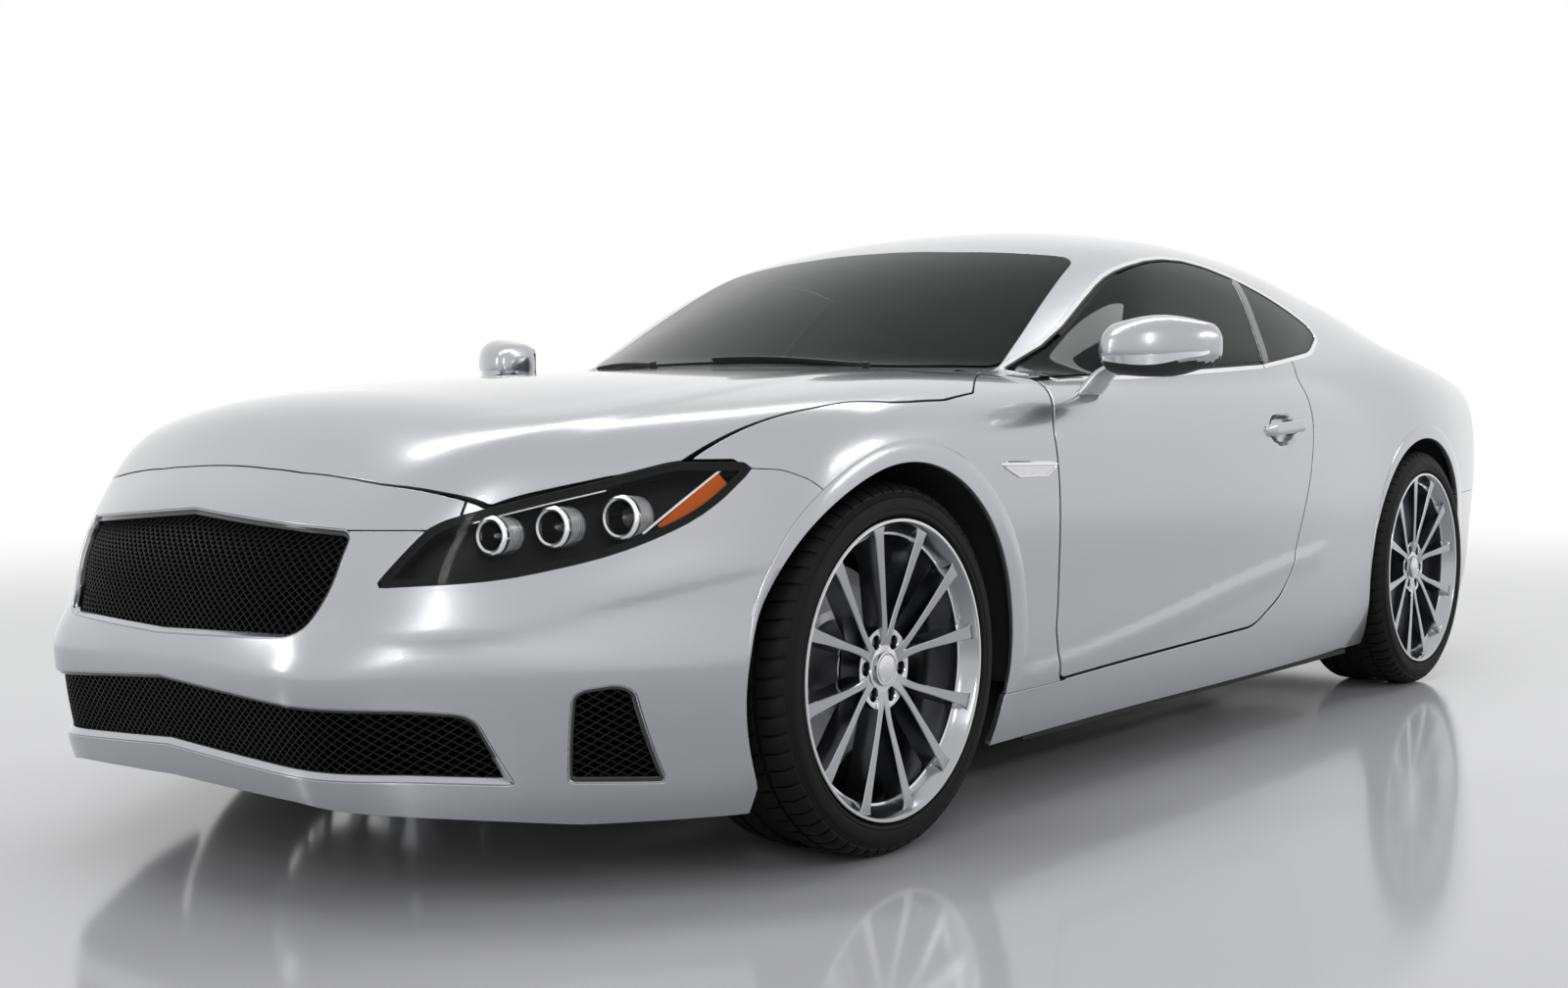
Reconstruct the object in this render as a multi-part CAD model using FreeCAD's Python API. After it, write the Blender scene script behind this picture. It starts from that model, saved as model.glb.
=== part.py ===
"""Grand-touring coupe: a two-door body on four wheels, every panel cut from one body surface.

Millimetres. +X points forward, +Y to the car's left, +Z up; the ground is z = 0 and the origin
is under the middle of the car. The outer body is one closed form, field(x, y, z) < 0, and every
outer panel, window and lamp is a skin of that form cut to its own outline.
"""
import FreeCAD, Part
import math
import os
from FreeCAD import Vector

os.makedirs("parts", exist_ok=True)

# ---------------------------------------------------------------- driving sizes
WHEELBASE = 2750
FRONT_OVERHANG = 980
REAR_OVERHANG = 1100
HALF_WIDTH = 940
ROOF_HEIGHT = 1335
FRONT_AXLE = (FRONT_OVERHANG + WHEELBASE + REAR_OVERHANG) / 2 - FRONT_OVERHANG
REAR_AXLE = FRONT_AXLE - WHEELBASE

SKIN = 8                 # fixed outer panels
LID_SKIN = 12            # hood and boot lid with their bracing
GLASS = 5
SHUT_GAP = 6             # round the doors, hood and boot lid
SEAT_GAP = 0.4           # round the panels and glass that don't move
DOOR_INNER = 800         # half-width to the doors' inner face

TYRE_RADIUS = 351
RIM_RADIUS = 285         # to the top of the rim's lip
TRACK_HALF = 772         # wheel centre off the middle
ARCH_GAP = 37            # tyre tread to the lip of the wheel arch
LINER_GAP = 74           # tyre tread to the arch liner
ARCH_RADIUS = TYRE_RADIUS + ARCH_GAP
LINER_RADIUS = TYRE_RADIUS + LINER_GAP
KINGPIN = 700            # steering axis off the middle
SPINDLE_RADIUS = 24
RUNNING_GAP = 0.4
DISC_RADIUS = 190
DISC_THICK = 28

HINGE_X = 815            # door hinge pin, ahead of the door's inner box
HINGE_Y = 893
HINGE_HEIGHTS = (400, 740)
HINGE_PIN = 6


# ---------------------------------------------------------------- small mathematics
def spline(table):
    """A natural cubic through the rows, carried on straight past both ends."""
    rows = sorted(table)
    xs = [row[0] for row in rows]
    ys = [row[1] for row in rows]
    spans = [b - a for a, b in zip(xs, xs[1:])]
    count = len(rows)
    bend = [0.0] * count
    ratio = [0.0] * count
    rest = [0.0] * count
    for i in range(1, count - 1):
        slope_change = (ys[i + 1] - ys[i]) / spans[i] - (ys[i] - ys[i - 1]) / spans[i - 1]
        pivot = 2 * (spans[i] + spans[i - 1]) - spans[i - 1] * ratio[i - 1]
        ratio[i] = spans[i] / pivot
        rest[i] = (6 * slope_change - spans[i - 1] * rest[i - 1]) / pivot
    for i in range(count - 2, 0, -1):
        bend[i] = rest[i] - ratio[i] * bend[i + 1]
    first = (ys[1] - ys[0]) / spans[0] - spans[0] * bend[1] / 6
    last = (ys[-1] - ys[-2]) / spans[-1] + spans[-1] * bend[-2] / 6

    def value(x):
        if x <= xs[0]:
            return ys[0] + first * (x - xs[0])
        if x >= xs[-1]:
            return ys[-1] + last * (x - xs[-1])
        i = 0
        while x > xs[i + 1]:
            i += 1
        a = (xs[i + 1] - x) / spans[i]
        b = 1 - a
        curve = ((a ** 3 - a) * bend[i] + (b ** 3 - b) * bend[i + 1]) * spans[i] ** 2 / 6
        return a * ys[i] + b * ys[i + 1] + curve
    return value


def soft_max(a, b, width):
    """The larger of the two, rounded where they come within the width of each other."""
    near = max(width - abs(a - b), 0) / width
    return max(a, b) + near ** 3 * width / 6


def soft_min(a, b, width):
    return -soft_max(-a, -b, width)


def ease(t):
    t = min(max(t, 0), 1)
    return t * t * (3 - 2 * t)


# ---------------------------------------------------------------- the body's form
# Tables are drawn along x for axles at these two places; placed() carries them to the real ones.
DRAWN_FRONT = 1435
DRAWN_REAR = -1315
DRAWN_NOSE = 980         # overhangs the tables were drawn for
DRAWN_TAIL = 1100


def placed(x):
    """Drawn x to real x."""
    if x > DRAWN_FRONT:
        return FRONT_AXLE + (x - DRAWN_FRONT) * FRONT_OVERHANG / DRAWN_NOSE
    if x < DRAWN_REAR:
        return REAR_AXLE + (x - DRAWN_REAR) * REAR_OVERHANG / DRAWN_TAIL
    return REAR_AXLE + (x - DRAWN_REAR) * WHEELBASE / (DRAWN_FRONT - DRAWN_REAR)


def drawn(x):
    """Real x to drawn x."""
    if x > FRONT_AXLE:
        return DRAWN_FRONT + (x - FRONT_AXLE) * DRAWN_NOSE / FRONT_OVERHANG
    if x < REAR_AXLE:
        return DRAWN_REAR + (x - REAR_AXLE) * DRAWN_TAIL / REAR_OVERHANG
    return DRAWN_REAR + (x - REAR_AXLE) * (DRAWN_FRONT - DRAWN_REAR) / WHEELBASE


# columns: drawn x, how far the side lies inside HALF_WIDTH
waist = spline([(-2420, 215), (-2150, 150), (-1850, 88), (-1580, 48), (-1315, 36), (-1000, 42), (-600, 34),
                (-100, 27), (400, 30), (900, 24), (1200, 14), (1435, 6), (1620, 10), (1800, 32),
                (1950, 76), (2100, 142), (2300, 252)])
# columns: height, how far the side tucks in at that height
tuck = spline([(100, 85), (150, 58), (200, 38), (270, 20), (350, 12), (450, 8), (560, 2), (640, 0),
               (720, 3), (790, 12), (850, 32), (900, 60), (960, 105), (1020, 160)])
# columns: drawn x, height of hood and deck on the middle line
ridge = spline([(2440, 560), (2360, 669), (2265, 742), (2170, 826), (2100, 860), (1950, 880), (1780, 894),
                (1430, 916), (1100, 930), (800, 938), (400, 945), (-500, 950), (-1200, 955), (-1800, 950),
                (-2100, 940), (-2380, 912)])
# columns: drawn x, height of fender crest, belt and haunch, CREST_OUT off the middle
crest = spline([(2440, 380), (2260, 560), (2110, 680), (1950, 765), (1800, 820), (1600, 866), (1435, 888),
                (1100, 902), (760, 905), (300, 922), (-390, 950), (-900, 965), (-1315, 965), (-1700, 945),
                (-2100, 905), (-2400, 860)])
CREST_OUT = 800
# columns: height, nose on the middle line
nose_line = spline([(120, 2350), (190, 2380), (245, 2395), (350, 2412), (410, 2415), (460, 2411),
                    (560, 2396), (669, 2360), (742, 2330), (900, 2250)])
# columns: height, tail on the middle line
tail_line = spline([(120, -2215), (250, -2305), (400, -2360), (560, -2400), (700, -2415), (800, -2409),
                    (900, -2402), (960, -2397)])
# columns: drawn x, how far windscreen, roof and backlight lie below ROOF_HEIGHT
roof_fall = spline([(1000, 420), (950, 397), (800, 325), (600, 229), (400, 143), (300, 105), (150, 59),
                    (0, 31), (-250, 6), (-500, 0), (-750, 9), (-1000, 35), (-1300, 87), (-1600, 163),
                    (-1900, 263), (-2150, 363), (-2400, 475)])
# columns: drawn x, how far the roof falls a metre off the middle
crown = spline([(1000, 105), (800, 110), (160, 125), (-250, 200), (-700, 280), (-1100, 315), (-2000, 300)])
# columns: drawn x, half-width of the cabin at the belt
cabin = spline([(1100, 790), (750, 822), (300, 848), (-100, 850), (-390, 843), (-650, 828), (-900, 800),
                (-1200, 752), (-1500, 690), (-1800, 612), (-2100, 520), (-2400, 420)])
# columns: distance off the middle, how far headlamps and hood front are swept back there
sweep = spline([(0, 0), (150, 4), (300, 32), (450, 105), (560, 215), (670, 365), (770, 490), (860, 592),
                (950, 690)])
BELT = 930
SIDE_GLASS_LEAN = math.tan(math.radians(31))
WINDSCREEN_BOW = 420     # how far the windscreen sweeps back a metre off the middle


def lower_body(x, y, z):
    out = abs(y)
    rise = crest(x) - ridge(x)
    top = z - ridge(x) - rise * min(out / CREST_OUT, 1.3) ** 2.2
    side = out - (HALF_WIDTH - waist(x)) + tuck(z)
    return soft_max(top, side, 130)


def upper_body(x, y, z):
    out = abs(y)
    bowing = ease((x + 300) / 900)
    bowed = x + bowing * WINDSCREEN_BOW * (out / 1000) ** 2
    cap = z - (ROOF_HEIGHT - roof_fall(bowed)) + crown(x) * (out / 1000) ** 2
    lean = soft_max((z - BELT) * SIDE_GLASS_LEAN, (BELT - z) * 0.5, 80)
    side = (out - cabin(x) + lean) * 0.86
    return soft_max(cap, side, 150)


def nose_face(x, y, z):
    out = abs(y)
    folded = 90 * (out / 1000) ** 2 + 1.11 * soft_max(out - 400, 0, 120)
    upper = ease((z - 400) / 110)
    return x - nose_line(z) + sweep(out) * upper + folded * (1 - upper)


def tail_face(x, y, z):
    return tail_line(z) + 420 * (abs(y) / 860) ** 3.2 - x


def field(x, y, z):
    """Below zero inside the car's outer form."""
    x = drawn(x)
    shoulder = 40 + 330 * ease((-500 - x) / 900)
    shape = soft_min(lower_body(x, y, z), upper_body(x, y, z), shoulder)
    shape = soft_max(shape, nose_face(x, y, z), 160)
    return soft_max(shape, tail_face(x, y, z), 120)


def cast(start, way, reach=1800, strides=36):
    """Where the body is first left, going from start along way."""
    def at(t):
        return start + way * t
    stride = reach / strides
    t = 0
    while t < reach and field(*at(t + stride)) < 0:
        t += stride
    near, far = t, t + stride
    for _ in range(24):
        middle = (near + far) / 2
        if field(*at(middle)) < 0:
            near = middle
        else:
            far = middle
    return at(near)


def outward(point):
    """Unit normal of the body's form."""
    h = 1.5
    x, y, z = point
    slope = Vector(field(x + h, y, z) - field(x - h, y, z),
                   field(x, y + h, z) - field(x, y - h, z),
                   field(x, y, z + h) - field(x, y, z - h))
    return slope.normalize()


def spread(first, last, count):
    return [first + (last - first) * i / (count - 1) for i in range(count)]


HEART = 500              # height of the line that the cross-sections are drawn round


def section_point(x, degrees):
    """A point of the cross-section at drawn x, by its direction from the heart line."""
    a = math.radians(degrees)
    return cast(Vector(placed(x), 0, HEART), Vector(0, math.cos(a), math.sin(a)))


def nose_point(degrees, z):
    a = math.radians(degrees)
    return cast(Vector(placed(1500), 0, z), Vector(math.cos(a), math.sin(a), 0))


def tail_point(degrees, z):
    a = math.radians(degrees)
    return cast(Vector(placed(-1400), 0, z), Vector(-math.cos(a), math.sin(a), 0))


def top_point(x, y):
    return cast(Vector(placed(x), y, HEART), Vector(0, 0, 1))


# ---------------------------------------------------------------- shapes
def slab(outer, inner):
    """A solid between two grids of points that match one to one."""
    surfaces = []
    for grid in (outer, inner):
        surface = Part.BSplineSurface()
        surface.interpolate(grid)
        surfaces.append(surface)
    faces = [surface.toShape() for surface in surfaces]
    u0, u1, v0, v1 = surfaces[0].bounds()
    w0, w1, t0, t1 = surfaces[1].bounds()
    rims = [(surfaces[0].uIso(u0), surfaces[1].uIso(w0)), (surfaces[0].uIso(u1), surfaces[1].uIso(w1)),
            (surfaces[0].vIso(v0), surfaces[1].vIso(t0)), (surfaces[0].vIso(v1), surfaces[1].vIso(t1))]
    faces += [Part.makeRuledSurface(a.toShape(), b.toShape()) for a, b in rims]
    shell = Part.Shell(faces)
    shell.sewShape()
    solid = Part.Solid(shell)
    if solid.Volume < 0:
        solid.reverse()
    return solid


def skin(grid, thick, sunk=0):
    """A sheet of the body's form, its outer face sunk below the form."""
    normals = [[outward(point) for point in row] for row in grid]
    outer = [[p - n * sunk for p, n in zip(row, slopes)] for row, slopes in zip(grid, normals)]
    inner = [[p - n * (sunk + thick) for p, n in zip(row, slopes)] for row, slopes in zip(grid, normals)]
    return slab(outer, inner)


def section_skin(xs, angles, thick, sunk=0):
    return skin([[section_point(x, a) for a in angles] for x in xs], thick, sunk)


def rounded(rows, place):
    """A closed wire of lines and arcs; rows hold two coordinates and the corner's radius."""
    corners = []
    count = len(rows)
    for i, (a, b, radius) in enumerate(rows):
        here = Vector(a, b, 0)
        if not radius:
            corners.append((here, here, here))
            continue
        back = Vector(*rows[i - 1][:2], 0) - here
        ahead = Vector(*rows[(i + 1) % count][:2], 0) - here
        half = back.getAngle(ahead) / 2
        reach = min(radius / math.tan(half), 0.49 * back.Length, 0.49 * ahead.Length)
        radius = reach * math.tan(half)
        back.normalize()
        ahead.normalize()
        bisector = (back + ahead).normalize()
        middle = here + bisector * (radius / math.sin(half) - radius)
        corners.append((here + back * reach, middle, here + ahead * reach))
    edges = []
    for i, (start, middle, end) in enumerate(corners):
        if (end - start).Length > 1e-6:
            edges.append(Part.Arc(place(start.x, start.y), place(middle.x, middle.y), place(end.x, end.y)).toShape())
        following = corners[(i + 1) % count][0]
        if (following - end).Length > 1e-6:
            edges.append(Part.LineSegment(place(end.x, end.y), place(following.x, following.y)).toShape())
    return Part.Wire(edges)


def side_cut(rows, near=300, far=1300):
    """Outline seen from the side, columns drawn x, z, radius, pushed through from near to far."""
    face = Part.Face(rounded(rows, lambda a, b: Vector(placed(a), near, b)))
    return face.extrude(Vector(0, far - near, 0))


def plan_cut(rows, low=400, high=1600):
    """Outline seen from above, columns drawn x, y, radius."""
    face = Part.Face(rounded(rows, lambda a, b: Vector(placed(a), b, low)))
    return face.extrude(Vector(0, 0, high - low))


def front_cut(rows, near=1500, far=2600):
    """Outline seen from the front, columns y, z, radius."""
    face = Part.Face(rounded(rows, lambda a, b: Vector(placed(near), a, b)))
    return face.extrude(Vector(placed(far) - placed(near), 0, 0))


def grown(rows, by):
    """The same outline moved outwards all round, or inwards when by is below zero."""
    count = len(rows)
    area = sum(rows[i - 1][0] * rows[i][1] - rows[i][0] * rows[i - 1][1] for i in range(count))
    turn = 1 if area > 0 else -1
    moved = []
    for i, (a, b, radius) in enumerate(rows):
        pa, pb, _ = rows[i - 1]
        na, nb, _ = rows[(i + 1) % count]
        back = Vector(a - pa, b - pb, 0).normalize()
        ahead = Vector(na - a, nb - b, 0).normalize()
        out_back = Vector(back.y, -back.x, 0) * turn
        out_ahead = Vector(ahead.y, -ahead.x, 0) * turn
        push = (out_back + out_ahead).normalize()
        share = by / max(push.dot(out_ahead), 0.12)
        convex = (back.x * ahead.y - back.y * ahead.x) * turn > 0
        moved.append((a + push.x * share, b + push.y * share,
                      max(radius + (by if convex else -by), 0) if radius else 0))
    return moved


def ahead(rows, by):
    """The same outline seen from above, moved forwards."""
    return [(x + by, y, radius) for x, y, radius in rows]


def mirrored(shape):
    return shape.mirror(Vector(0, 0, 0), Vector(0, 1, 0))


def both(shape):
    return Part.makeCompound([shape, mirrored(shape)])


def box(x0, x1, y0, y1, z0, z1):
    return Part.makeBox(x1 - x0, y1 - y0, z1 - z0, Vector(x0, y0, z0))


def tube(start, end, radius):
    return Part.makeCylinder(radius, (end - start).Length, start, end - start)


def disc_y(x, z, radius, y0, y1):
    return Part.makeCylinder(radius, y1 - y0, Vector(x, y0, z), Vector(0, 1, 0))


def turned(profile, x, z):
    """A ring turned round a wheel's axle; profile rows are y and radius."""
    wire = Part.makePolygon([Vector(x, y, z + r) for y, r in profile + profile[:1]])
    return Part.Face(wire).revolve(Vector(x, 0, z), Vector(0, 1, 0), 360)


def two_sided(rows, across):
    """Rows down one side of the middle and back up the other; across is the column that changes sign."""
    back = [tuple(-v if i == across else v for i, v in enumerate(row)) for row in reversed(rows) if row[across] > 0]
    return rows + back


made = {}


def save(name, shape):
    made[name] = shape
    shape.exportStep(f"parts/{name}.step")
    print(f"{name}: {len(shape.Solids)} solids, {shape.Volume / 1e6:.2f} litres, valid {shape.isValid()}")


# ---------------------------------------------------------------- outlines
# Side view: columns drawn x, z, corner radius.
DOOR_OPENING = [(790, 896, 8), (874, 800, 60), (868, 700, 0), (858, 430, 300), (862, 372, 40), (834, 266, 12),
                (-120, 288, 200), (-320, 372, 220), (-442, 660, 400), (-536, 962, 14), (-300, 947, 0),
                (772, 897, 0)]
SIDE_WINDOWS = [(772, 897, 12), (560, 975, 0), (346, 1095, 300), (205, 1165, 200), (20, 1206, 300),
                (-200, 1222, 400), (-470, 1184, 600), (-730, 1108, 600), (-880, 1046, 22),
                (-700, 988, 300), (-300, 947, 0)]
POST = [(-285, 900, 0), (-490, 1260, 0), (-530, 1260, 0), (-325, 900, 0)]
SILL_TOP = 258
BUMPER_ZONE = [(1500, 0, 0), (2700, 0, 0), (2700, 752, 0), (1790, 752, 0), (1780, 736, 0), (1731, 733, 60),
               (1692, 715, 60), (1650, 676, 0), (1500, 600, 0)]
REAR_BUMPER_ZONE = [(-1500, 0, 0), (-2700, 0, 0), (-2700, 640, 0), (-2180, 640, 0), (-2060, 560, 60),
                    (-1660, 560, 0), (-1500, 500, 0)]
TAIL_LAMP_SIDE = [(-2010, 850, 20), (-2600, 930, 0), (-2600, 700, 0), (-2120, 736, 20)]
# Seen from above: columns drawn x, y, corner radius.
WINDSCREEN = two_sided([(262, 0, 0), (250, 220, 300), (178, 558, 50), (692, 652, 60), (862, 420, 500),
                        (956, 0, 1200)], 1)
HOOD = two_sided([(2264, 0, 2500), (2244, 362, 200), (2139, 560, 0), (2056, 614, 0), (1970, 669, 0),
                  (1870, 739, 80), (1760, 790, 200), (1620, 856, 300), (1440, 889, 500), (1260, 883, 200),
                  (1126, 864, 30), (792, 664, 40), (905, 430, 500), (1014, 0, 1200)], 1)
SCREEN_OPENING = two_sided([(262, 0, 0), (250, 220, 300), (178, 558, 50), (692, 652, 200), (1100, 690, 0),
                            (1100, 0, 0)], 1)
FRONT_ZONE = two_sided([(1300, 0, 0), (1300, 1100, 0), (802, 1100, 0), (802, 838, 0), (960, 762, 0),
                        (792, 664, 40), (905, 430, 500), (1014, 0, 1200)], 1)
BACKLIGHT = two_sided([(-1120, 0, 1500), (-1150, 400, 300), (-1200, 520, 60), (-1700, 560, 80),
                       (-1800, 380, 300), (-1830, 0, 1500)], 1)
BOOT = two_sided([(-1872, 0, 1500), (-1880, 400, 300), (-1950, 575, 70), (-2250, 600, 600),
                  (-2700, 560, 0)], 1)
# Seen from the front: columns y, z, corner radius.
GRILLE = two_sided([(0, 669, 0), (392, 640, 22), (389, 545, 150), (345, 463, 55), (0, 452, 0)], 0)
INTAKE = two_sided([(0, 380, 0), (371, 354, 300), (500, 346, 200), (570, 334, 34), (603, 208, 6),
                    (489, 222, 300), (0, 252, 0)], 0)
VENT = [(676, 368, 24), (740, 380, 24), (762, 200, 8), (658, 208, 8)]
HEADLAMP = [(446, 546, 6), (590, 554, 300), (700, 592, 300), (790, 655, 200), (832, 746, 14),
            (735, 748, 60), (500, 650, 60)]
NOSE_ZONE = [(-530, 640, 0), (530, 640, 0), (530, 950, 0), (-530, 950, 0)]
BUMPER_FOOT = two_sided([(0, -50, 0), (1100, -50, 0), (1100, 130, 0), (660, 132, 200), (330, 186, 200),
                         (0, 196, 0)], 0)
TAIL_LAMP = [(590, 746, 14), (1000, 738, 0), (1000, 900, 0), (620, 846, 14)]


def arch(axle, radius, near=300):
    """The round of a wheel arch, with its open foot."""
    hole = disc_y(axle, TYRE_RADIUS, radius, near, 1300)
    return hole.fuse(box(axle - radius * 0.9, axle + radius * 0.9, near, 1300, -50, TYRE_RADIUS - radius * 0.43))


def one(shape):
    """The biggest solid of a shape, without the crumbs that a cut leaves."""
    return max(shape.Solids, key=lambda solid: solid.Volume)


# ---------------------------------------------------------------- outer panels
def body_shell():
    """Roof, pillars, quarter panels and sills in one."""
    xs = spread(-2060, 1062, 50)
    angles = spread(-26, 206, 72)
    shell = section_skin(xs, angles, SKIN + 4)
    shell = shell.cut(plan_cut(FRONT_ZONE, SILL_TOP, 1500))
    shell = shell.cut(plan_cut(grown(SCREEN_OPENING, SEAT_GAP), 700))
    shell = shell.cut(plan_cut(grown(BACKLIGHT, SEAT_GAP), 700))
    shell = shell.cut(plan_cut(grown(BOOT, SHUT_GAP), 600)).cut(plan_cut(ahead(grown(BOOT, SHUT_GAP), SHUT_GAP), 600))
    shell = shell.cut(plan_cut(grown(HOOD, 2 * SHUT_GAP), 600))
    windows = side_cut(grown(SIDE_WINDOWS, SEAT_GAP)).cut(side_cut(POST))
    door = side_cut(grown(DOOR_OPENING, SHUT_GAP))
    bumper = side_cut(grown(REAR_BUMPER_ZONE, SEAT_GAP), -1300)
    lamp = front_cut(grown(TAIL_LAMP, SEAT_GAP), -1700, -2700).common(
        side_cut(grown(TAIL_LAMP_SIDE, SEAT_GAP), 0))
    foot = Part.makeBox(6000, 3000, 150, Vector(-3000, -1500, 0))
    for hole in (windows, door, lamp, arch(REAR_AXLE, ARCH_RADIUS), arch(FRONT_AXLE, ARCH_RADIUS)):
        shell = shell.cut(both(hole))
    shell = shell.cut(bumper).cut(foot)
    save("body_shell", one(shell))


def front_fenders():
    fender = section_skin(spread(780, 1900, 30), spread(-22, 62, 34), SKIN)
    fender = fender.common(plan_cut(grown(FRONT_ZONE, -SEAT_GAP), SILL_TOP + SEAT_GAP, 1500).fuse(
        box(placed(1290), placed(2000), 0, 1300, SILL_TOP + SEAT_GAP, 1500)))
    fender = fender.cut(plan_cut(grown(HOOD, SHUT_GAP), 500))
    fender = fender.cut(side_cut(grown(DOOR_OPENING, SHUT_GAP)))
    fender = fender.cut(side_cut(grown(BUMPER_ZONE, SEAT_GAP), -300))
    fender = fender.cut(front_cut(grown(HEADLAMP, SEAT_GAP)))
    fender = one(fender.cut(arch(FRONT_AXLE, ARCH_RADIUS)))
    save("front_fenders", both(fender))


def front_bumper():
    grid_z = spread(118, 748, 30)
    angles = spread(-84, 84, 64)
    wall = skin([[nose_point(a, z) for a in angles] for z in grid_z], SKIN)
    wall = wall.cut(plan_cut(grown(HOOD, SHUT_GAP), 500))
    wall = wall.cut(front_cut(grown(GRILLE, SEAT_GAP)))
    lamp = front_cut(grown(HEADLAMP, SEAT_GAP))
    wall = wall.cut(both(lamp))
    panel = wall.common(front_cut(grown(NOSE_ZONE, -SEAT_GAP)))
    bumper = wall.cut(front_cut(NOSE_ZONE))
    bumper = bumper.cut(front_cut(INTAKE)).cut(both(front_cut(VENT)))
    bumper = bumper.cut(front_cut(BUMPER_FOOT, 1000))
    bumper = bumper.common(side_cut(BUMPER_ZONE, -1300)).cut(both(arch(FRONT_AXLE, ARCH_RADIUS)))
    save("nose_panel", one(panel))
    save("front_bumper", one(bumper))


def rear_bumper():
    wall = skin([[tail_point(a, z) for a in spread(-76, 76, 50)] for z in spread(150, 655, 22)], SKIN)
    wall = wall.common(side_cut(REAR_BUMPER_ZONE, -1300)).cut(both(arch(REAR_AXLE, ARCH_RADIUS)))
    wall = wall.cut(plan_cut(grown(BOOT, SHUT_GAP), 640 - 2 * SHUT_GAP, 800))
    tip = Part.makeCylinder(TAILPIPE_RADIUS + 8, 600, Vector(placed(-2500), TAILPIPE_OUT, TAILPIPE_HEIGHT), Vector(1, 0, 0))
    save("rear_bumper", one(wall.cut(both(tip))))


HOOD_PIN = (772, 903)    # hinge pins: drawn x, height
HOOD_HINGE_OUT = 600
BOOT_PIN = (-1740, 1000)
BOOT_HINGE_OUT = 400
HINGE_PLATE = 8
PIN_RADIUS = 5
BOSS_RADIUS = 11


def hinge_arm(route, thick, y, pin):
    """A flat arm along a route of side-view points, bored for its pin at the first of them."""
    arm = Part.makeCylinder(BOSS_RADIUS, HINGE_PLATE, Vector(pin[0], y, pin[1]), Vector(0, 1, 0))
    for (x0, z0), (x1, z1) in zip([pin] + route, route):
        along = Vector(x1 - x0, 0, z1 - z0)
        across = Vector(-along.z, 0, along.x).normalize() * (thick / 2)
        start, end = Vector(x0, y, z0), Vector(x1, y, z1)
        corners = [start + across, end + across, end - across, start - across, start + across]
        arm = arm.fuse(Part.Face(Part.makePolygon(corners)).extrude(Vector(0, HINGE_PLATE, 0)))
        arm = arm.fuse(Part.makeCylinder(thick / 2, HINGE_PLATE, end, Vector(0, 1, 0)))
    return arm.cut(Part.makeCylinder(PIN_RADIUS + RUNNING_GAP, 60, Vector(pin[0], y - 20, pin[1]), Vector(0, 1, 0)))


def under(x, y, depth):
    """Side-view point at drawn x, so far below the body's form."""
    return placed(x), top_point(x, y).z - depth


def hood():
    lid = section_skin(spread(770, 2290, 44), spread(12, 168, 56), LID_SKIN)
    lid = one(lid.common(plan_cut(HOOD, 500)).cut(both(front_cut(grown(HEADLAMP, SHUT_GAP)))))
    y = HOOD_HINGE_OUT
    pin = (placed(HOOD_PIN[0]), HOOD_PIN[1])
    arm = hinge_arm([(pin[0] + 60, pin[1]), under(870, y, 14), under(960, y, 14)], 12, y, pin)
    save("hood", lid.fuse(arm).fuse(mirrored(arm)))


def tail_corners():
    """The rear corners between quarter panel, boot lid and bumper, round the tail lamps."""
    corner = skin([[tail_point(a, z) for a in spread(22, 58, 18)] for z in spread(634, 912, 14)], SKIN)
    corner = corner.common(box(placed(-2500), placed(-2060) - SEAT_GAP, 300, 1000, 640 + SEAT_GAP, 1000))
    corner = corner.cut(plan_cut(grown(BOOT, SHUT_GAP), 600))
    lamp = front_cut(grown(TAIL_LAMP, SEAT_GAP), -1700, -2700)
    corner = corner.cut(lamp.common(side_cut(grown(TAIL_LAMP_SIDE, SEAT_GAP), 0)))
    save("tail_corners", both(one(corner)))


def boot_point(y, degrees):
    a = math.radians(degrees)
    return cast(Vector(placed(-1760), y, 560), Vector(-math.cos(a), 0, math.sin(a)))


def boot_lid():
    lid = skin([[boot_point(y, a) for a in spread(96, -2, 30)] for y in spread(-640, 640, 26)], LID_SKIN)
    lid = lid.common(plan_cut(BOOT, 640)).cut(both(front_cut(grown(TAIL_LAMP, SHUT_GAP), -1700, -2700)))
    lid = one(lid)
    y = BOOT_HINGE_OUT
    pin = (placed(BOOT_PIN[0]), BOOT_PIN[1])
    # a gooseneck: it hangs far enough to swing clear of the strip of body between the lid and the rear window
    neck = [(pin[0] - 42, pin[1] - 24), (pin[0] - 112, pin[1] - 112), (pin[0] - 190, pin[1] - 70)]
    arm = hinge_arm(neck + [under(-2010, y, 14), under(-2060, y, 14)], 12, y, pin)
    save("boot_lid", lid.fuse(arm).fuse(mirrored(arm)))


def belt(x):
    """Height of the lower edge of the side windows, at drawn x."""
    return 897 + (772 - x) * (947 - 897) / 1072


def side_point(x, z):
    return cast(Vector(placed(x), 0, z), Vector(0, 1, 0))


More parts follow.
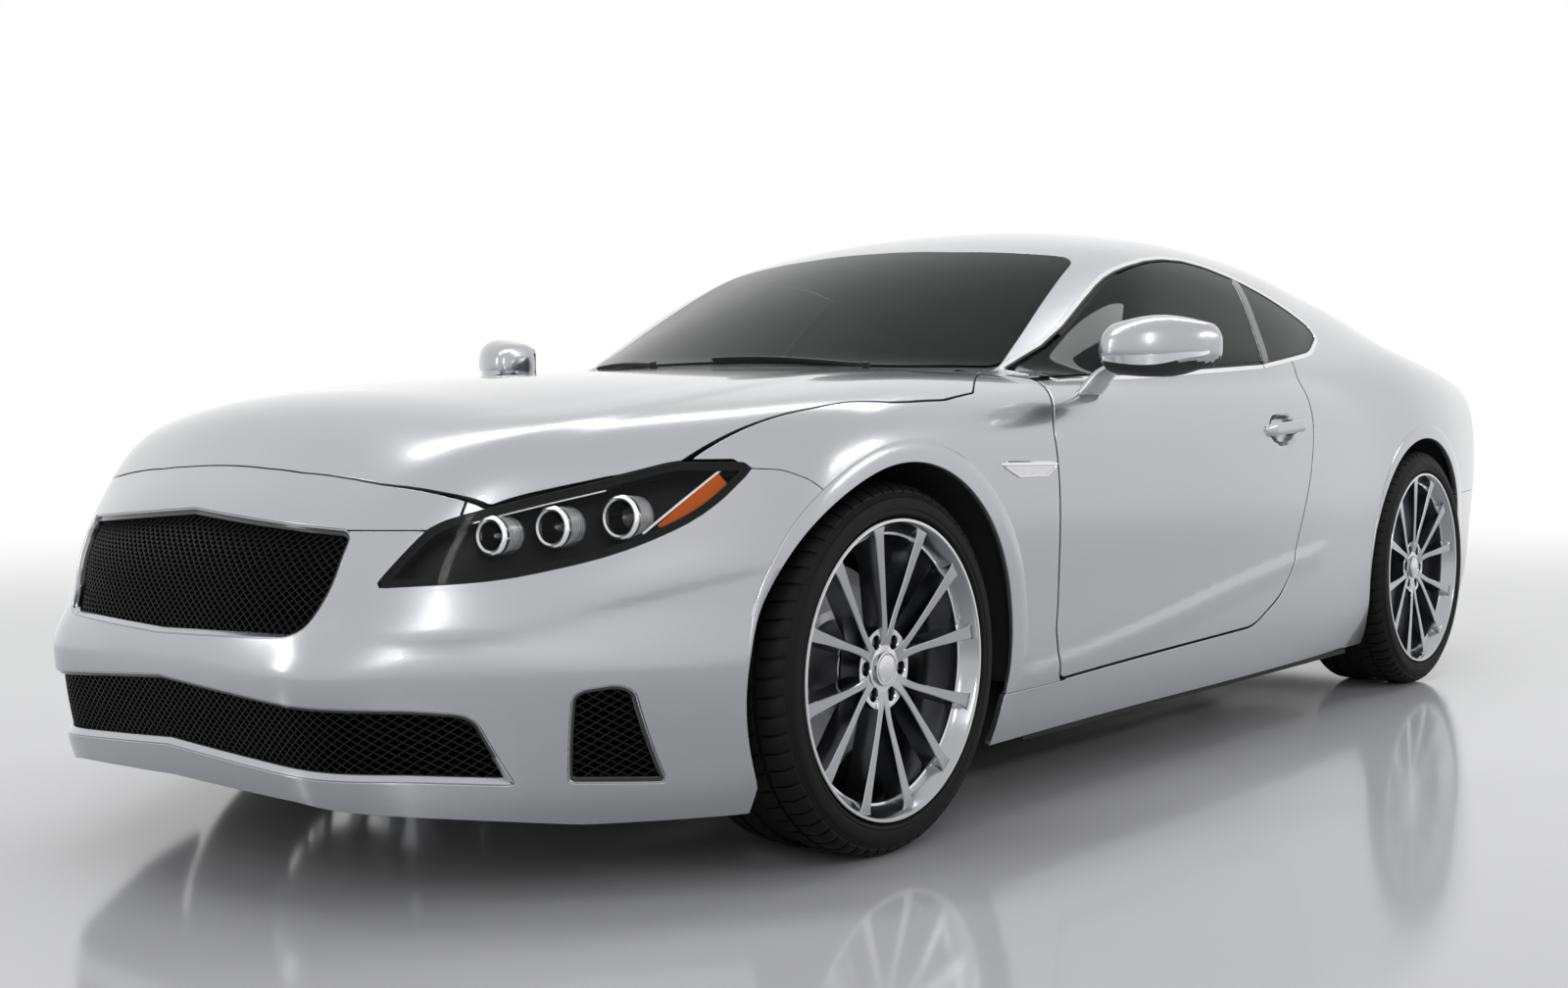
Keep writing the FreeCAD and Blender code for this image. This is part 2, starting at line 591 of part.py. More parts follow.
def door(name, side):
    """A door from its outer skin to its inner face, down from the belt."""
    outer = [[side_point(x, z) for z in spread(250, 800, 14) + spread(820, belt(x) + 14, 9)]
             for x in spread(-560, 892, 32)]
    inner = [[Vector(p.x, min(DOOR_INNER, p.y - 4 * GLASS), p.z) for p in row] for row in outer]
    leaf = slab(outer, inner).common(side_cut(DOOR_OPENING))
    # room for the hinges, between the door's inner box and the edge of its skin
    pin_x = placed(HINGE_X)
    leaf = leaf.cut(box(pin_x - 22, pin_x + 120, DOOR_INNER - 30, HINGE_Y - 4, 200, 1000))
    for z in HINGE_HEIGHTS:
        leaf = leaf.fuse(box(pin_x - 40, pin_x, HINGE_Y - 26, HINGE_Y - 14, z - 18, z + 18))
        leaf = leaf.fuse(Part.makeCylinder(14, 36, Vector(pin_x, HINGE_Y - 14, z - 18)))
        leaf = leaf.cut(Part.makeCylinder(HINGE_PIN + RUNNING_GAP, 40, Vector(pin_x, HINGE_Y - 14, z - 20)))
    leaf = one(leaf)
    save(name, leaf if side > 0 else mirrored(leaf))


# ---------------------------------------------------------------- glass and lamps
def glass_sheet(xs, angles, outline):
    return one(section_skin(xs, angles, GLASS).common(outline))


def windows():
    screen = glass_sheet(spread(140, 980, 26), spread(28, 152, 34), plan_cut(WINDSCREEN, 700))
    save("windscreen", screen)
    back = glass_sheet(spread(-1850, -1100, 22), spread(32, 148, 30), plan_cut(BACKLIGHT, 700))
    save("rear_window", back)
    post = side_cut(POST)
    pane = glass_sheet(spread(-900, 800, 44), spread(22, 64, 24), side_cut(SIDE_WINDOWS))
    panes = sorted(pane.cut(side_cut(grown(POST, SHUT_GAP))).Solids, key=lambda solid: solid.CenterOfMass.x)
    rear = one(panes[0].cut(post))
    front = one(panes[-1].common(side_cut(grown(SIDE_WINDOWS, SEAT_GAP - SHUT_GAP))))
    sill = side_cut([(900, 800, 0), (900, belt(900) + SEAT_GAP, 0), (-700, belt(-700) + SEAT_GAP, 0), (-700, 800, 0)])
    front = one(front.cut(sill))
    save("quarter_windows", both(rear))
    save("door_glass_left", front)
    save("door_glass_right", mirrored(front))


def grilles():
    """Upper grille, and the lower intake with the two corner vents, as plates set back in their openings."""
    def plate(outline, z0, z1, reach, sunk):
        wall = skin([[nose_point(a, z) for a in spread(-reach, reach, 36)] for z in spread(z0, z1, 10)], GLASS, sunk)
        return one(wall.common(outline))
    save("grille_upper", plate(front_cut(grown(GRILLE, 6)), 430, 700, 26, SKIN + 2 * SEAT_GAP))
    lower = plate(front_cut(grown(INTAKE, 6)), 195, 400, 40, SKIN + 2 * SEAT_GAP)
    vent = skin([[nose_point(a, z) for a in spread(44, 68, 10)] for z in spread(190, 395, 10)], GLASS, SKIN + 2 * SEAT_GAP)
    vent = one(vent.common(front_cut(grown(VENT, 5))))
    save("grille_lower", Part.makeCompound([lower, vent, mirrored(vent)]))


def headlamps():
    """A clear lens flush with the panels over a black bowl with three ring lamps."""
    grid = [[nose_point(a, z) for a in spread(16, 78, 22)] for z in spread(535, 760, 16)]
    lens = one(skin(grid, GLASS).common(front_cut(HEADLAMP)))
    save("headlamp_lenses", both(lens))
    bowl = one(skin(grid, 14, 62).common(front_cut(grown(HEADLAMP, -8))))
    wall = skin(grid, 62 - GLASS, GLASS + SEAT_GAP)
    rim = wall.common(front_cut(HEADLAMP)).cut(front_cut(grown(HEADLAMP, -8)))
    bowl = bowl.fuse(one(rim))
    for out, z, radius in LAMP_RINGS:
        start = lamp_seat(out, z)
        ring = Part.makeCylinder(radius, 34, start + Vector(-22, 0, 0), Vector(1, 0, 0))
        bowl = bowl.fuse(ring.cut(Part.makeCylinder(radius - 8, 30, start + Vector(-14, 0, 0), Vector(1, 0, 0))))
    save("headlamp_bowls", both(one(bowl)))


LAMP_RINGS = [(575, 622, 30), (633, 638, 32), (697, 652, 34)]


def lamp_seat(out, z):
    """A point on the lamp bowl's floor behind the lens."""
    degrees = 30
    for _ in range(20):
        point = nose_point(degrees, z)
        degrees += (out - point.y) / 25
    return point - outward(point) * 64


def tail_lamps():
    grid = [[tail_point(a, z) for a in spread(20, 76, 22)] for z in spread(725, 880, 12)]
    lamp = skin(grid, 40).common(front_cut(TAIL_LAMP, -1700, -2700)).common(side_cut(TAIL_LAMP_SIDE, 0))
    save("tail_lamps", both(one(lamp)))


CABIN_FRONT = placed(905)
CABIN_REAR = placed(-840)
BACK_WALL = placed(-960)
FLOOR = 190              # top of the floor plates
PLATE = 12
BULKHEAD = CABIN_FRONT + PLATE


def scuttle():
    """The black panel between hood and windscreen, and the bulkhead under it with the hood's hinge brackets."""
    panel = section_skin(spread(640, 1040, 16), spread(28, 152, 30), GLASS, GLASS)
    zone = plan_cut(grown(SCREEN_OPENING, -SEAT_GAP), 700).cut(plan_cut(grown(WINDSCREEN, SEAT_GAP), 650))
    zone = zone.cut(plan_cut(grown(HOOD, 2 * SHUT_GAP), 650))
    pin = Vector(placed(HOOD_PIN[0]), HOOD_HINGE_OUT - HINGE_PLATE - 2, HOOD_PIN[1])
    slot = box(pin.x - 16, pin.x + 200, pin.y - 4, HOOD_HINGE_OUT + HINGE_PLATE + 6, 700, 1000)
    panel = one(panel.common(zone).cut(both(slot)))
    wall = box(CABIN_FRONT, BULKHEAD, -690, 690, FLOOR - PLATE, 800)
    rows = [(BULKHEAD, 760), (BULKHEAD, 850), (pin.x, pin.z + 9), (pin.x - 9, pin.z), (pin.x, pin.z - 9), (CABIN_FRONT, 852),
            (CABIN_FRONT, 760), (BULKHEAD, 760)]
    bracket = Part.Face(Part.makePolygon([Vector(x, pin.y, z) for x, z in rows])).extrude(Vector(0, HINGE_PLATE, 0))
    bracket = bracket.fuse(Part.makeCylinder(PIN_RADIUS, 2 * HINGE_PLATE + 4, pin, Vector(0, 1, 0)))
    save("scuttle", Part.makeCompound([panel, wall.fuse(bracket).fuse(mirrored(bracket))]))


# ---------------------------------------------------------------- underbody
DOOR_PIN = Vector(placed(HINGE_X), HINGE_Y - 14, 0)
POST_FACE = DOOR_INNER - 16
SHELF_HEIGHT = 700
BOOT_FLOOR = 330
BOOT_HALF = 418
BOOT_END = placed(-2180)
SILL_FOOT = 150


def floor_pan():
    """Floor with its tunnel and inner sills, the door posts and hinges, the boot's tub and the parcel shelf."""
    frame = box(CABIN_REAR, CABIN_FRONT, -700, 700, FLOOR - PLATE, FLOOR).fuse(
        box(BACK_WALL, CABIN_REAR, -600, 600, FLOOR - PLATE, FLOOR))
    hollow = box(BACK_WALL + PLATE, CABIN_FRONT + 1, -118, 118, FLOOR - PLATE - 1, 388)
    frame = frame.fuse(box(BACK_WALL, CABIN_FRONT, -130, 130, FLOOR, 400)).cut(hollow)
    for part in (
            box(CABIN_REAR, CABIN_FRONT, 700, 826, SILL_FOOT - SEAT_GAP - PLATE, FLOOR + 50),
            box(CABIN_REAR, CABIN_FRONT, 826, 846, SILL_FOOT - SEAT_GAP - PLATE, SILL_FOOT - SEAT_GAP),
            box(placed(HINGE_X) - 4, CABIN_FRONT, 700, POST_FACE, FLOOR, 840),
            box(placed(-640), placed(-545), 700, POST_FACE, FLOOR, 880),
            box(BOOT_END, BACK_WALL, BOOT_HALF - PLATE, BOOT_HALF, BOOT_FLOOR - PLATE, 640)):
        frame = frame.fuse(part).fuse(mirrored(part))
    for part in (
            box(BACK_WALL, BACK_WALL + PLATE, -600, 600, FLOOR, SHELF_HEIGHT),
            box(placed(-1500), BACK_WALL, -BOOT_HALF, BOOT_HALF, SHELF_HEIGHT - PLATE, SHELF_HEIGHT),
            box(BOOT_END, BACK_WALL, -BOOT_HALF, BOOT_HALF, BOOT_FLOOR - PLATE, BOOT_FLOOR),
            box(BOOT_END, BOOT_END + PLATE, -BOOT_HALF, BOOT_HALF, BOOT_FLOOR, 640)):
        frame = frame.fuse(part)
    for height in HINGE_HEIGHTS:
        pin = DOOR_PIN + Vector(0, 0, height)
        for level in (-18 - RUNNING_GAP - HINGE_PLATE, 18 + RUNNING_GAP):
            ear = box(pin.x - 9, pin.x + 9, POST_FACE - 20, pin.y, pin.z + level, pin.z + level + HINGE_PLATE)
            ear = ear.fuse(Part.makeCylinder(9, HINGE_PLATE, pin + Vector(0, 0, level)))
            frame = frame.fuse(ear).fuse(mirrored(ear))
        half = 18 + RUNNING_GAP + HINGE_PLATE
        shaft = Part.makeCylinder(HINGE_PIN, 2 * half, pin - Vector(0, 0, half))
        frame = frame.fuse(shaft).fuse(mirrored(shaft))
    pin_x, pin_z = placed(BOOT_PIN[0]), BOOT_PIN[1]
    pin = Vector(pin_x, BOOT_HINGE_OUT - HINGE_PLATE - 2, pin_z)
    seat_z = SHELF_HEIGHT - PLATE / 2
    rows = [(placed(-1400), seat_z), (pin_x, pin_z + 9), (pin_x - 9, pin_z), (pin_x, pin_z - 9),
            (placed(-1480), seat_z), (placed(-1400), seat_z)]
    strut = Part.Face(Part.makePolygon([Vector(x, pin.y, z) for x, z in rows])).extrude(Vector(0, HINGE_PLATE, 0))
    strut = strut.fuse(Part.makeCylinder(PIN_RADIUS, 2 * HINGE_PLATE + 4, pin, Vector(0, 1, 0)))
    save("floor_pan", frame.fuse(strut).fuse(mirrored(strut)))


ARM_FEET = 430           # half-width of the members that carry the suspension arms
TOWER_TOP = 806


def front_frame():
    """Rails, crossmembers, suspension towers and radiator panel ahead of the cabin."""
    start = BULKHEAD + SEAT_GAP
    half = box(start, placed(2150), 330, 400, 380, 470)
    half = half.fuse(box(FRONT_AXLE - 90, FRONT_AXLE + 90, 330, 600, TOWER_TOP, TOWER_TOP + 14))
    for x in (FRONT_AXLE - 101, FRONT_AXLE + 79):
        half = half.fuse(box(x, x + 22, 330, ARM_FEET, 470, TOWER_TOP))
    half = half.fuse(box(FRONT_AXLE - 60, FRONT_AXLE + 60, 340, 390, 240, 380))
    frame = half.fuse(mirrored(half))
    frame = frame.fuse(box(FRONT_AXLE - 150, FRONT_AXLE + 150, -ARM_FEET, ARM_FEET, 200, 240))
    frame = frame.fuse(box(placed(2110), placed(2150), -400, 400, 250, 640))
    save("front_frame", frame)


def engine_block():
    foot = 240 + SEAT_GAP
    engine = box(placed(1010), placed(1330), -230, 230, foot, 700)
    save("engine_block", engine.fuse(box(placed(1330), placed(1900), -200, 200, foot, 690)))


STUD_RADIUS = 4          # steering studs between upright and arms
STUD_BOSS = 7


def wishbone(axle, z, inner, tip, half_base, half_leg, thick):
    """An A-shaped arm from its two feet at half-width inner to the bored tip that takes the upright's stud."""
    rows = [(axle - half_base - half_leg, inner, 0), (axle - STUD_BOSS, tip, 0), (axle + STUD_BOSS, tip, 0),
            (axle + half_base + half_leg, inner, 0), (axle + half_base - half_leg, inner, 0),
            (axle, tip - 70, 0), (axle - half_base + half_leg, inner, 0)]
    face = Part.Face(rounded(rows, lambda a, b: Vector(a, b, z)))
    arm = face.extrude(Vector(0, 0, thick)).fuse(Part.makeCylinder(STUD_BOSS, thick, Vector(axle, tip, z)))
    return arm.cut(Part.makeCylinder(STUD_RADIUS + RUNNING_GAP, thick + 2, Vector(axle, tip, z - 1)))


UPRIGHT_FOOT = 226
UPRIGHT_TOP = 520
ARM_THICK = 22
UPPER_ARM_THICK = 18


def suspension(name, axle):
    inner = ARM_FEET + SEAT_GAP
    lower = wishbone(axle, UPRIGHT_FOOT - ARM_THICK - RUNNING_GAP, inner, KINGPIN, 110, 13, ARM_THICK)
    upper = wishbone(axle, UPRIGHT_TOP + RUNNING_GAP, inner, KINGPIN, 90, 11, UPPER_ARM_THICK)
    seat = box(axle - 60, axle + 60, 535, 595, UPRIGHT_FOOT - ARM_THICK - RUNNING_GAP, UPRIGHT_FOOT - RUNNING_GAP)
    foot = UPRIGHT_FOOT - RUNNING_GAP - 2
    strut = Part.makeCylinder(26, TOWER_TOP - SEAT_GAP - foot, Vector(axle, 565, foot))
    lower = lower.fuse(seat).fuse(strut)
    save(name, Part.makeCompound([lower, upper, mirrored(lower), mirrored(upper)]))


def caliper(axle, ahead):
    """A caliper over the disc, on its side of the axle."""
    inner, outer = TRACK_HALF - 76, TRACK_HALF - 16
    ring = disc_y(0, 0, 214, inner, outer).cut(disc_y(0, 0, 128, inner - 1, outer + 1))
    slot = disc_y(0, 0, DISC_RADIUS + 4, DISC_INNER - 3, DISC_INNER + DISC_THICK + 3)
    wedge = Part.Face(Part.makePolygon([Vector(0, inner - 1, 0), Vector(400, inner - 1, 60), Vector(400, inner - 1, -230),
                                        Vector(0, inner - 1, 0)])).extrude(Vector(0, 80, 0))
    shape = ring.common(wedge).cut(slot)
    arm = box(30, 150, inner - 20, inner, -70, 10)
    shape = shape.fuse(arm)
    if not ahead:
        shape = shape.mirror(Vector(0, 0, 0), Vector(1, 0, 0))
    return shape.translated(Vector(axle, 0, TYRE_RADIUS))


DISC_INNER = TRACK_HALF - 60


def upright(axle):
    body = box(axle - 42, axle + 42, KINGPIN - 30, KINGPIN + 6, UPRIGHT_FOOT, UPRIGHT_TOP)
    spindle = disc_y(axle, TYRE_RADIUS, SPINDLE_RADIUS, KINGPIN, TRACK_HALF + 70)
    stud_foot = UPRIGHT_FOOT - RUNNING_GAP - ARM_THICK
    stud_top = UPRIGHT_TOP + RUNNING_GAP + UPPER_ARM_THICK
    stud = Part.makeCylinder(STUD_RADIUS, stud_top - stud_foot, Vector(axle, KINGPIN, stud_foot))
    return body.fuse(spindle).fuse(stud)


def knuckles():
    for name, side in (("left", 1), ("right", -1)):
        shape = upright(FRONT_AXLE).fuse(caliper(FRONT_AXLE, True))
        save(f"knuckle_front_{name}", shape if side > 0 else mirrored(shape))
    carrier = upright(REAR_AXLE).fuse(caliper(REAR_AXLE, False))
    save("rear_hub_carriers", both(carrier))


def rear_subframe():
    top = BOOT_FLOOR - PLATE - SEAT_GAP
    frame = box(REAR_AXLE - 160, REAR_AXLE + 160, -ARM_FEET, ARM_FEET, 205, 255)
    frame = frame.fuse(box(REAR_AXLE - 90, REAR_AXLE + 90, -130, 130, 255, top))
    tower = box(REAR_AXLE - 101, REAR_AXLE + 101, BOOT_HALF + SEAT_GAP, ARM_FEET, 255, TOWER_TOP)
    tower = tower.fuse(box(REAR_AXLE - 70, REAR_AXLE + 70, BOOT_HALF + SEAT_GAP, 600, TOWER_TOP, TOWER_TOP + 14))
    save("rear_subframe", frame.fuse(tower).fuse(mirrored(tower)))


def arch_liners():
    shapes = []
    # columns: axle, first and last direction round it, the outer panel's thickness
    for axle, first, last, panel in ((FRONT_AXLE, -8, 190, SKIN), (REAR_AXLE, -14, 194, SKIN + 4)):
        rings = []
        for radius in (LINER_RADIUS + 3, LINER_RADIUS):
            grid = []
            for degrees in spread(first, last, 30):
                a = math.radians(degrees)
                x, z = axle + radius * math.cos(a), TYRE_RADIUS + radius * math.sin(a)
                face = side_point(drawn(x), z)
                edge = face.y - (panel + (5 if x > axle + 200 else 2) * SEAT_GAP) / outward(face).y
                grid.append([Vector(x, y, z) for y in spread(612, edge, 6)])
            rings.append(grid)
        shapes.append(slab(*rings))
    save("arch_liners", both(Part.makeCompound(shapes)))


TAILPIPE_RADIUS = 40
TAILPIPE_OUT = 520
TAILPIPE_HEIGHT = 235


def exhaust():
    pipe = tube(Vector(placed(900), 60, 150), Vector(placed(-1500), 60, 150), 28)
    silencer = box(placed(-2150), placed(-1700), -420, 420, 190, 290)
    link = tube(Vector(placed(-1500), 60, 150), Vector(placed(-1720), 150, 235), 28)
    system = pipe.fuse(link).fuse(silencer)
    hanger = box(placed(-1920), placed(-1880), 280, 320, 290, BOOT_FLOOR - PLATE - SEAT_GAP)
    tip_start = Vector(placed(-2120), TAILPIPE_OUT, TAILPIPE_HEIGHT)
    tip = tube(tip_start, Vector(placed(-2240), TAILPIPE_OUT, TAILPIPE_HEIGHT), TAILPIPE_RADIUS)
    tip = tip.cut(tube(tip_start - Vector(60, 0, 0), Vector(placed(-2260), TAILPIPE_OUT, TAILPIPE_HEIGHT),
                       TAILPIPE_RADIUS - 4))
    elbow = box(placed(-2150), placed(-2110), 400, TAILPIPE_OUT + 30, 200, 270)
    for part in (hanger, tip, elbow):
        system = system.fuse(part).fuse(mirrored(part))
    save("exhaust", system)


# ---------------------------------------------------------------- wheels
# columns: out from the wheel's middle, radius
RIM_SECTION = [(128, 0), (117, 0), (115, -8.5), (60, -15), (0, -23), (-60, -15), (-115, -8.5), (-117, 0),
               (-128, 0), (-128, -9), (-118, -17), (-60, -23), (0, -31), (60, -23), (110, -17), (122, -12)]
TYRE_SECTION = [(-113, -74), (-113, -65), (-125, -55), (-132.5, -33), (-128, -13), (-112, -2), (-95, 0),
                (95, 0), (112, -2), (128, -13), (132.5, -33), (125, -55), (113, -65), (113, -74), (104, -74),
                (108, -51), (100, -16), (-100, -16), (-108, -51), (-104, -74)]
HUB_RADIUS = 72
HUB_FACE = 92
PAIR_SPREAD = 15
# columns: radius, share of the pair's spread, half-width at the front, half-width at the back, front, back
SPOKE_STATIONS = [(52, 0.45, 11, 14, 90, 50), (150, 0.85, 8, 12, 100, 62), (271, 1.0, 10, 13, 118, 84)]


def spoke(root, side):
    wires = []
    for radius, share, front_half, back_half, front, back in SPOKE_STATIONS:
        a = math.radians(root + side * PAIR_SPREAD * share)
        along = Vector(math.cos(a), 0, math.sin(a))
        across = Vector(-math.sin(a), 0, math.cos(a))
        middle = along * radius
        corners = [(-back_half, back), (back_half, back), (front_half, front), (-front_half, front)]
        points = [middle + across * c + Vector(0, w, 0) for c, w in corners]
        wires.append(Part.makePolygon(points + points[:1]))
    return Part.makeLoft(wires, True, True)


def wheel_parts():
    rim = turned([(w, RIM_RADIUS + r) for w, r in RIM_SECTION], 0, 0)
    hub = disc_y(0, 0, HUB_RADIUS, 46, HUB_FACE)
    spokes = [spoke(root, side) for root in range(35, 360, 60) for side in (-1, 1)]
    rim = rim.multiFuse([hub] + spokes)
    for k in range(6):
        a = math.radians(5 + 60 * k)
        rim = rim.cut(disc_y(48 * math.cos(a), 48 * math.sin(a), 13, 60, HUB_FACE + 30))
    rim = rim.fuse(disc_y(0, 0, 32, HUB_FACE - 2, HUB_FACE + 10))
    rim = rim.cut(disc_y(0, 0, SPINDLE_RADIUS + RUNNING_GAP, 0, 76))
    tyre = turned([(w, TYRE_RADIUS + r) for w, r in TYRE_SECTION], 0, 0)
    inner = DISC_INNER - TRACK_HALF
    rotor = disc_y(0, 0, DISC_RADIUS, inner, inner + DISC_THICK)
    rotor = rotor.fuse(disc_y(0, 0, 80, inner + DISC_THICK - 1, 46 - SEAT_GAP))
    rotor = rotor.cut(disc_y(0, 0, SPINDLE_RADIUS + RUNNING_GAP, inner - 1, 60))
    return {"tyre": tyre, "rim": rim, "disc": rotor}


def wheels():
    parts = wheel_parts()
    for end, axle in (("front", FRONT_AXLE), ("rear", REAR_AXLE)):
        for name, side in (("left", 1), ("right", -1)):
            for kind, shape in parts.items():
                placed_shape = shape.translated(Vector(axle, TRACK_HALF, TYRE_RADIUS))
                save(f"{kind}_{end}_{name}", placed_shape if side > 0 else mirrored(placed_shape))


# ---------------------------------------------------------------- cabin
def seat(x, y, width, length, back_height):
    """A cushion and a raked backrest on a plinth; x is the cushion's rear edge."""
    cushion = box(x, x + length, y - width / 2, y + width / 2, FLOOR + 110, FLOOR + 250)
    plinth = box(x + 60, x + length - 60, y - width / 2 + 60, y + width / 2 - 60, FLOOR + SEAT_GAP, FLOOR + 110)
    rows = [(x, FLOOR + 200, 0), (x + 120, FLOOR + 200, 0), (x - 40, FLOOR + back_height, 40),
            (x - 130, FLOOR + back_height, 40)]
    back = Part.Face(rounded(rows, lambda a, b: Vector(a, y - width / 2, b))).extrude(Vector(0, width, 0))
    return cushion.fuse(plinth).fuse(back)


STEERING_WHEEL = Vector(330, 370, 800)
COLUMN_RAKE = 24         # degrees
COLUMN_RADIUS = 24
COLUMN_LENGTH = 320


def cabin_parts():
    save("front_seats", both(seat(placed(-310), 375, 460, 500, 860)))
    rear = seat(placed(-850), 0, 1000, 400, 720)
    rear = rear.cut(box(-2000, 2000, -132, 132, 0, 402))
    save("rear_seats", rear)
    rows = [(905 - SEAT_GAP, 560, 20), (905 - SEAT_GAP, 840, 40), (700, 850, 60), (560, 800, 60), (520, 700, 50), (640, 560, 40)]
    face = Part.Face(rounded(rows, lambda a, b: Vector(placed(a), -660, b)))
    dash = face.extrude(Vector(0, 1320, 0))
    console = box(placed(-300), placed(700), -120, 120, 400 + SEAT_GAP, 560)
    centre = Vector(placed(STEERING_WHEEL.x), STEERING_WHEEL.y, STEERING_WHEEL.z)
    rake = math.radians(COLUMN_RAKE)
    axis = Vector(-math.cos(rake), 0, math.sin(rake))
    bore = Part.makeCylinder(COLUMN_RADIUS + RUNNING_GAP, COLUMN_LENGTH, centre - axis * (COLUMN_LENGTH + RUNNING_GAP),
                             axis)
    save("dashboard", dash.fuse(console).cut(bore))
    ring = Part.makeTorus(180, 14, centre, axis)
    hub = Part.makeCylinder(55, 40, centre - axis * 30, axis)
    column = Part.makeCylinder(COLUMN_RADIUS, COLUMN_LENGTH, centre - axis * COLUMN_LENGTH, axis)
    wheel = ring.fuse(hub).fuse(column)
    across = Vector(0, 1, 0)
    for way in (across, across * -1, across.cross(axis)):
        wheel = wheel.fuse(tube(centre + way * 40, centre + way * 176, 11))
    save("steering_wheel", wheel)


# ---------------------------------------------------------------- fittings
# columns: half-width, front and rear drawn x, low and high z
MIRROR_STATIONS = [(912, 704, 618, 930, 990), (940, 738, 588, 909, 1022), (1000, 726, 572, 902, 1034),
                   (1060, 692, 562, 906, 1033), (1108, 640, 556, 920, 1020), (1134, 598, 560, 942, 998)]


def mirrors():
    """A housing with a flat rear and a swept front, on a foot that stands on the door's shoulder."""
    wires = []
    for y, front, rear, low, high in MIRROR_STATIONS:
        width, height, middle = front - rear, high - low, (high + low) / 2
        rows = [(rear, low, 0.1 * height), (rear, high, 0.1 * height), (front - 0.45 * width, high, 0.4 * height),
                (front, middle + 0.2 * height, 0.3 * height), (front, middle - 0.2 * height, 0.3 * height),
                (front - 0.45 * width, low, 0.4 * height)]
        wires.append(rounded(rows, lambda a, b: Vector(placed(a), y, b)))
    pod = Part.makeLoft(wires, True, True)
    foot = []
    for front, rear, inner, outer, z in ((692, 604, 836, 884, 868), (688, 612, 868, 914, 905), (690, 625, 930, 990, 940)):
        foot.append(Part.makePolygon([Vector(placed(front), inner, z), Vector(placed(rear), inner, z),
                                      Vector(placed(rear), outer, z), Vector(placed(front), outer, z),
                                      Vector(placed(front), inner, z)]))
    pod = pod.fuse(Part.makeLoft(foot, True, True))
    pod = one(pod.cut(made["door_left"]).cut(made["door_glass_left"]))
    save("mirror_left", pod)
    save("mirror_right", mirrored(pod))


BLADE = 4                # half the blade's height and width


def wipers():
    """Two arms with their blades along the foot of the windscreen."""
    arms = []
    # columns: pivot drawn x and half-width, blade tip drawn x and half-width
    for pivot_x, pivot_y, tip_x, tip_y in ((878, 420, 925, 10), (938, -170, 796, -490)):
        foot = top_point(pivot_x, pivot_y)
        upwards = outward(foot)
        foot -= upwards * (GLASS - 2 * SEAT_GAP)
        wires = []
        for t in spread(0, 1, 7):
            over = top_point(pivot_x + t * (tip_x - pivot_x), pivot_y + t * (tip_y - pivot_y))
            up = outward(over)
            middle = over + up * (BLADE + 2.5 * SEAT_GAP)
            aside = up.cross(Vector(tip_x - pivot_x, tip_y - pivot_y, 0)).normalize() * BLADE
            up *= BLADE
            corners = [middle + aside + up, middle - aside + up, middle - aside - up, middle + aside - up]
            wires.append(Part.makePolygon(corners + corners[:1]))
        arms.append(Part.makeCylinder(9, 16, foot, upwards).fuse(Part.makeLoft(wires, True, True)))
    save("wipers", Part.makeCompound(arms))


body_shell()
front_fenders()
front_bumper()
rear_bumper()
hood()
tail_corners()
boot_lid()
door("door_left", 1)
door("door_right", -1)
windows()
grilles()
headlamps()
tail_lamps()
scuttle()
floor_pan()
front_frame()
engine_block()
suspension("front_suspension", FRONT_AXLE)
suspension("rear_suspension", REAR_AXLE)
knuckles()
rear_subframe()
arch_liners()
exhaust()
wheels()
cabin_parts()
mirrors()
wipers()
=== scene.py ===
# %% [markdown]
# # A silver grand touring coupe
# The imported CAD model gives every piece its place and size. This lesson dresses it: the painted panels are made
# again as dense, smooth meshes with rolled edges, and lamps, grilles, wheels and cabin get their details and
# finishes. First the model is loaded.

# %% Load the imported car
import math

import bpy
import numpy as np
from mathutils import Matrix, Vector


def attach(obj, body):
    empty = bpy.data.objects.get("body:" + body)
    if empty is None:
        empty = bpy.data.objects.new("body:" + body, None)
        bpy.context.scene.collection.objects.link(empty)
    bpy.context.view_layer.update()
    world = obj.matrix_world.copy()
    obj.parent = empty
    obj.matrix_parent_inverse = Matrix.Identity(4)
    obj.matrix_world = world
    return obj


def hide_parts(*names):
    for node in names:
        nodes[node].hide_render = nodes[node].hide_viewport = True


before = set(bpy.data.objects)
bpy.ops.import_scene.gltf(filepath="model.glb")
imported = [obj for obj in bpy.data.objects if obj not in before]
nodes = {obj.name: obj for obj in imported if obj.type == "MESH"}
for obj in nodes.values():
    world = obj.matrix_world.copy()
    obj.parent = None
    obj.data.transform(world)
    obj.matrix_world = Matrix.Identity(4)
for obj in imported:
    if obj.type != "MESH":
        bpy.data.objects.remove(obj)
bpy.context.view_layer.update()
MM = 0.001

# %% [markdown]
# ## The body's form
# A car body is designed as one flowing surface that is cut into panels afterwards. Here that surface is where a
# formula is zero: a top, two sides, a nose and a tail, blended with soft corners, and the cabin's dome melted
# into the shoulders. Smooth curves through a few rows set how each part runs along the car. All lengths in the
# next cells are millimetres, +X forwards and +Z up.

